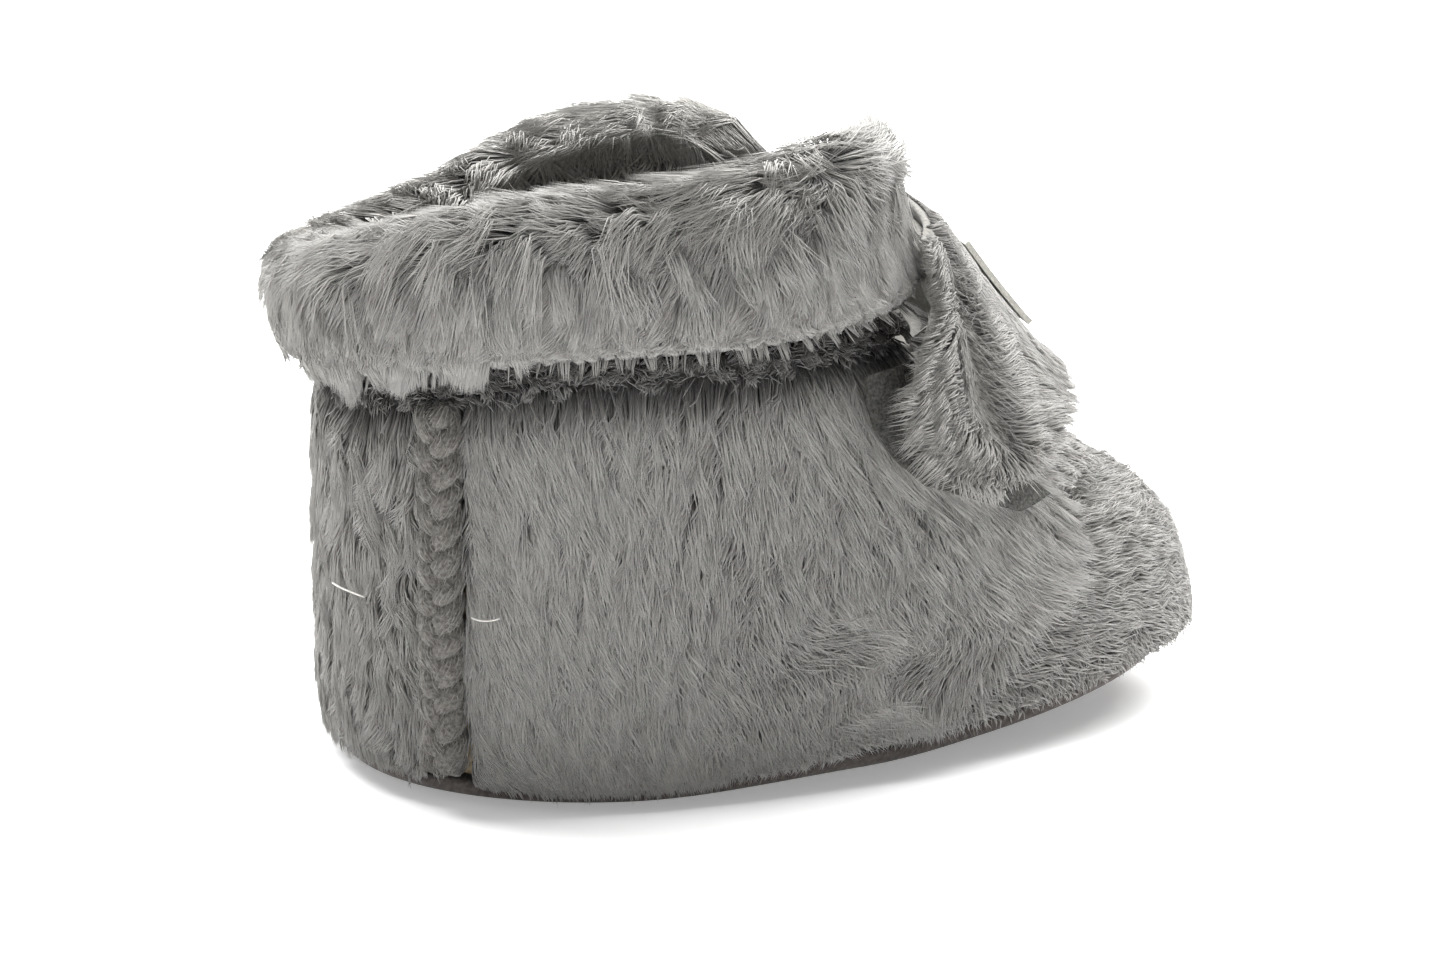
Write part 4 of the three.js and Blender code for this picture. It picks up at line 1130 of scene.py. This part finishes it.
def flap_combing(bearing, height):
    """Away from the crease on both sides: back over the ear, forward and down in front."""
    ahead = bearing - crease_line(height)
    ear = mix(-1.5, -0.5, smooth((46 - np.asarray(height)) / 6))
    front = 0.1 + 1.2 * np.exp(-(ahead / 12) ** 2)
    front = front * smooth((30 - bearing) / 40)
    turn = mix(ear, front, smooth((ahead + 1.2) / 2.4))
    return turn + 0.16 * waves(bearing, height, 12, 101)


def flap_nap(bearing, height):
    """Short along the ear's outline and the lower edge, so that the pile hangs just over them."""
    end = (bearing - flap_end(height)) / degrees_for(1.0, bearing, height) + 7.5
    low = np.asarray(height) - flap_bottom(bearing) + 2.2
    ear = smooth((crease_line(height) - bearing + 3) / 6)
    return np.clip(np.minimum(mix(9.0, end, ear), low) / 7.5, 0.3, 1)


flap_spot = lap(flap_end, constant(flap_fold_bearing), flap_bottom, flap_top)
flap_back = backing("closure_flap_backing", flap_spot,
                    lambda b, h: flap_outer(b) - 2.0 - 0.8 * crease(b, h),
                    lambda b, h: stand_off(b) + flap_lining_thickness + layer_gap - 0.3,
                    across=80, up=36, material=knit_backing, body="flap", rounding=0.6)
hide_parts("closure_flap")
# The pile is darker in the crease: painted shade in the fold.
flap_cloth = Cloth(flap_spot, flap_place, wide=84, high=27, combing=flap_combing, nap=flap_nap,
                   dull=lambda b, h: -0.55 * crease(b, h))
flap_under = pile("closure_flap_underfur", flap_cloth, grey_underfur, seed=102, count=4500,
                  length=(4.5, 7.0), rise=(1.2, 2.0), root=flap_root, width=(0.5, 0.8),
                  body="flap", unruly=0.15)
# Its tone is raised: painted light on the flap's lit slope.
flap_locks = pile("closure_flap_pile", flap_cloth, grey_pile, seed=103, count=15000,
                  length=(5.5, 8.5), rise=(2.0, 3.2), root=flap_root, width=(0.16, 0.32),
                  cell=(1.4, 3.8), clump=0.4, unruly=0.09, curl=0.3, tone=(0.35, 1.0),
                  body="flap")
flap_lining = backing("closure_flap_lining",
                      lap(shifted(flap_end, flap_margin), constant(flap_fold_bearing),
                          lambda b: flap_bottom(b) + flap_margin,
                          lambda b: flap_top(b) - flap_margin),
                      lambda b, h: stand_off(b) + flap_lining_thickness,
                      lambda b, h: stand_off(b), across=60, up=24, material=fleece_backing,
                      body="flap", rounding=0.5)
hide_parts("flap_lining")


# Fold strips. The wrap and the panels are one cloth; at each wing's fold a narrow strip of fur
# carries it on from the panel.
def fold_strip(name, first, second, low, high, seed):
    """A strip of fur between two (bearing, depth) lines, one on the shoe and one on a wing."""
    def place(share, height, out):
        """A point over the strip, at a share of the way from one line to the other."""
        bend = smooth(share)
        bearing = mix(first[0], second[0], share)
        return on_last(bearing, height, mix(first[1], second[1], bend) + out)

    share, height = np.meshgrid(np.linspace(0, 1, 12), np.linspace(low, high, 16))
    rows = []
    for row in range(16):
        above = place(share[row], height[row], -pile_depth + 0.4)
        below = place(share[row], height[row], -pile_depth - 0.9)[::-1]
        rows.append(np.concatenate([above, below]))
    knit = closed_surface(name + "_backing", np.array(rows), knit_backing, body=None)
    wide = 0.65 * abs(second[0] - first[0])
    cloth = Cloth(lambda p, q: (p, mix(low + 0.5, high - 0.5, q)), place, wide, high - low,
                  lambda a, b: 0.3 * waves(a * wide, b, 9, seed), nap=constant(0.8),
                  scale=even_scale(wide, 1))
    hair = pile(name + "_pile", cloth, grey_pile, seed, 1000, length=(5.0, 8.0), rise=(1.8, 2.8),
                root=pile_root, width=(0.22, 0.42), body=None)
    middle = (low + high) / 2
    start, end = (tuple(place(np.array([at]), np.array([middle]), -pile_depth)[0] * MM)
                  for at in (0.15, 0.85))
    for part in (knit, hair):
        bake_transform(part)


fold_strip("flap_fold", (58.0, 0.0), (48.5, 4.0), 40.0, 58.5, 111)
fold_strip("wing_fold", (-43.0, 0.0), (-35.5, 0.0), 36.0, 57.5, 112)


# Loose fibres. Two stray white threads that lie on the pile, on the side and on the heel.
thread_white, tree, shader = plain_material("thread_white", 0.6, 0.2)
link(tree, ramp(tree, grain(tree, 900), [(0.3, shade(205, 203, 196)), (0.7, shade(236, 234, 228))]),
     shader.inputs["Base Color"])
for number, ((b0, h0), (b1, h1), (b2, h2)) in enumerate([
        ((-132.5, 27), (-129.5, 26.5), (-127, 27.25)),
        ((-170, 27), (-164, 27.5), (-158.5, 27))]):
    at, turn = np.linspace(0, 1, 14), np.linspace(0, 2 * np.pi, 6, endpoint=False)
    bend = lambda a, m, z: (1 - at) ** 2 * a + 2 * at * (1 - at) * m + at ** 2 * z
    line = on_last(bend(b0, b1, b2), bend(h0, h1, h2), 0.5 + 0.5 * np.sin(at * np.pi))
    out = facing(bend(b0, b1, b2), bend(h0, h1, h2))
    flank = unit(np.cross(unit(np.gradient(line, axis=0)), out))
    ring = flank[:, None] * np.cos(turn)[:, None] + out[:, None] * np.sin(turn)[:, None]
    thread = closed_surface(f"loose_thread_{number + 1}", line[:, None] + 0.13 * ring,
                            thread_white)


# Hook and loop tapes, and the bare woven patch. The tapes are black nylon, sewn to the flap
# and to the panel; the patch is cream cotton, stitched to the front of the flap.
finish_nodes(["hook_tape", "loop_tape"], napped(
    "hook_nylon", (34, 34, 32), (96, 95, 91), 2600, roughness=0.6, sheen=0.0, bump=1.0))
finish_nodes(["front_patch"], napped(
    "patch_cotton", (214, 212, 203), (236, 234, 226), 3000, roughness=0.9, sheen=0.1, bump=0.4))


# Camera, lights and floor. A long lens from the left and above, a broad lamp overhead to the
# right, and a white floor that keeps the soft shadow.
right_of_view = np.array([0.951, -0.309, 0])
top_of_view = np.array([0.0904, 0.278, 0.956])
back_of_view = np.cross(right_of_view, top_of_view)
photo_wide, photo_high, origin_across, origin_down, pixels_per_mm = 1445, 963, 740, 719, 7.28
camera_distance, frame_width, sensor_width = 1.0, photo_wide / pixels_per_mm * MM, 36.0
aim = (right_of_view * (photo_wide / 2 - origin_across)
       + top_of_view * (origin_down - photo_high / 2)) / pixels_per_mm * MM
camera_data = bpy.data.cameras.new("camera")
camera_data.sensor_width = sensor_width
camera_data.lens = sensor_width * camera_distance / frame_width
camera = bpy.data.objects.new("camera", camera_data)
bpy.context.scene.collection.objects.link(camera)
camera.location = Vector(aim + back_of_view * camera_distance)
camera.rotation_euler = Vector(-back_of_view).to_track_quat("-Z", "Y").to_euler()
bpy.context.scene.camera = camera


def lamp(name, place, wide, deep, power):
    """A softbox that points at the bootie."""
    data = bpy.data.lights.new(name, "AREA")
    data.shape, data.size, data.size_y, data.energy = "RECTANGLE", wide, deep, power
    made = bpy.data.objects.new(name, data)
    made.location = place
    made.rotation_euler = (Vector((0, 0, 0.04)) - Vector(place)).to_track_quat("-Z", "Y").to_euler()
    bpy.context.scene.collection.objects.link(made)


def seen_rays(tree):
    """1 for rays from the camera, and for those that a mirror or glass passes on; else 0."""
    rays = tree.nodes.new("ShaderNodeLightPath")
    seen = rays.outputs["Is Camera Ray"]
    for kind in ("Is Glossy Ray", "Is Transmission Ray"):
        either = tree.nodes.new("ShaderNodeMath")
        either.operation = "MAXIMUM"
        link(tree, seen, either.inputs[0])
        link(tree, rays.outputs[kind], either.inputs[1])
        seen = either.outputs["Value"]
    return seen


lamp("overhead_softbox", (0.12, 0.25, 0.82), 1.8, 0.5, 42.0)
lamp("heel_fill", (-0.9, 0.1, 0.4), 0.6, 0.6, 1.5)
world = bpy.data.worlds.new("studio")
bpy.context.scene.world = world
world.use_nodes = True
tree = world.node_tree
sky = tree.nodes["Background"]
sky.inputs["Color"].default_value = (1, 1, 1, 1)
sky.inputs["Strength"].default_value = 0.2
seen = tree.nodes.new("ShaderNodeBackground")
seen.inputs["Color"].default_value = (1, 1, 1, 1)
choose = tree.nodes.new("ShaderNodeMixShader")
link(tree, seen_rays(tree), choose.inputs["Fac"])
link(tree, sky.outputs["Background"], choose.inputs[1])
link(tree, seen.outputs["Background"], choose.inputs[2])
link(tree, choose.outputs["Shader"], tree.nodes["World Output"].inputs["Surface"])

floor_size = 3.0
corners = np.array([[-1, -1, 0], [1, -1, 0], [1, 1, 0], [-1, 1, 0]]) * floor_size / MM
white, tree, shader = plain_material("white_floor", 0.9)
shader.inputs["Base Color"].default_value = (0.9, 0.9, 0.9, 1)
glow = tree.nodes.new("ShaderNodeEmission")
glow.inputs["Color"].default_value = (1, 1, 1, 1)
scaled = tree.nodes.new("ShaderNodeMath")
scaled.operation = "MULTIPLY"
scaled.inputs[1].default_value = 0.3
add = tree.nodes.new("ShaderNodeAddShader")
link(tree, seen_rays(tree), scaled.inputs[0])
link(tree, scaled.outputs["Value"], glow.inputs["Strength"])
link(tree, shader.outputs["BSDF"], add.inputs[0])
link(tree, glow.outputs["Emission"], add.inputs[1])
link(tree, add.outputs["Shader"], tree.nodes["Material Output"].inputs["Surface"])
floor = mesh_piece("floor", corners, [[0, 1, 2, 3]], [], white, body=None)

bpy.context.scene.view_settings.view_transform = "Standard"
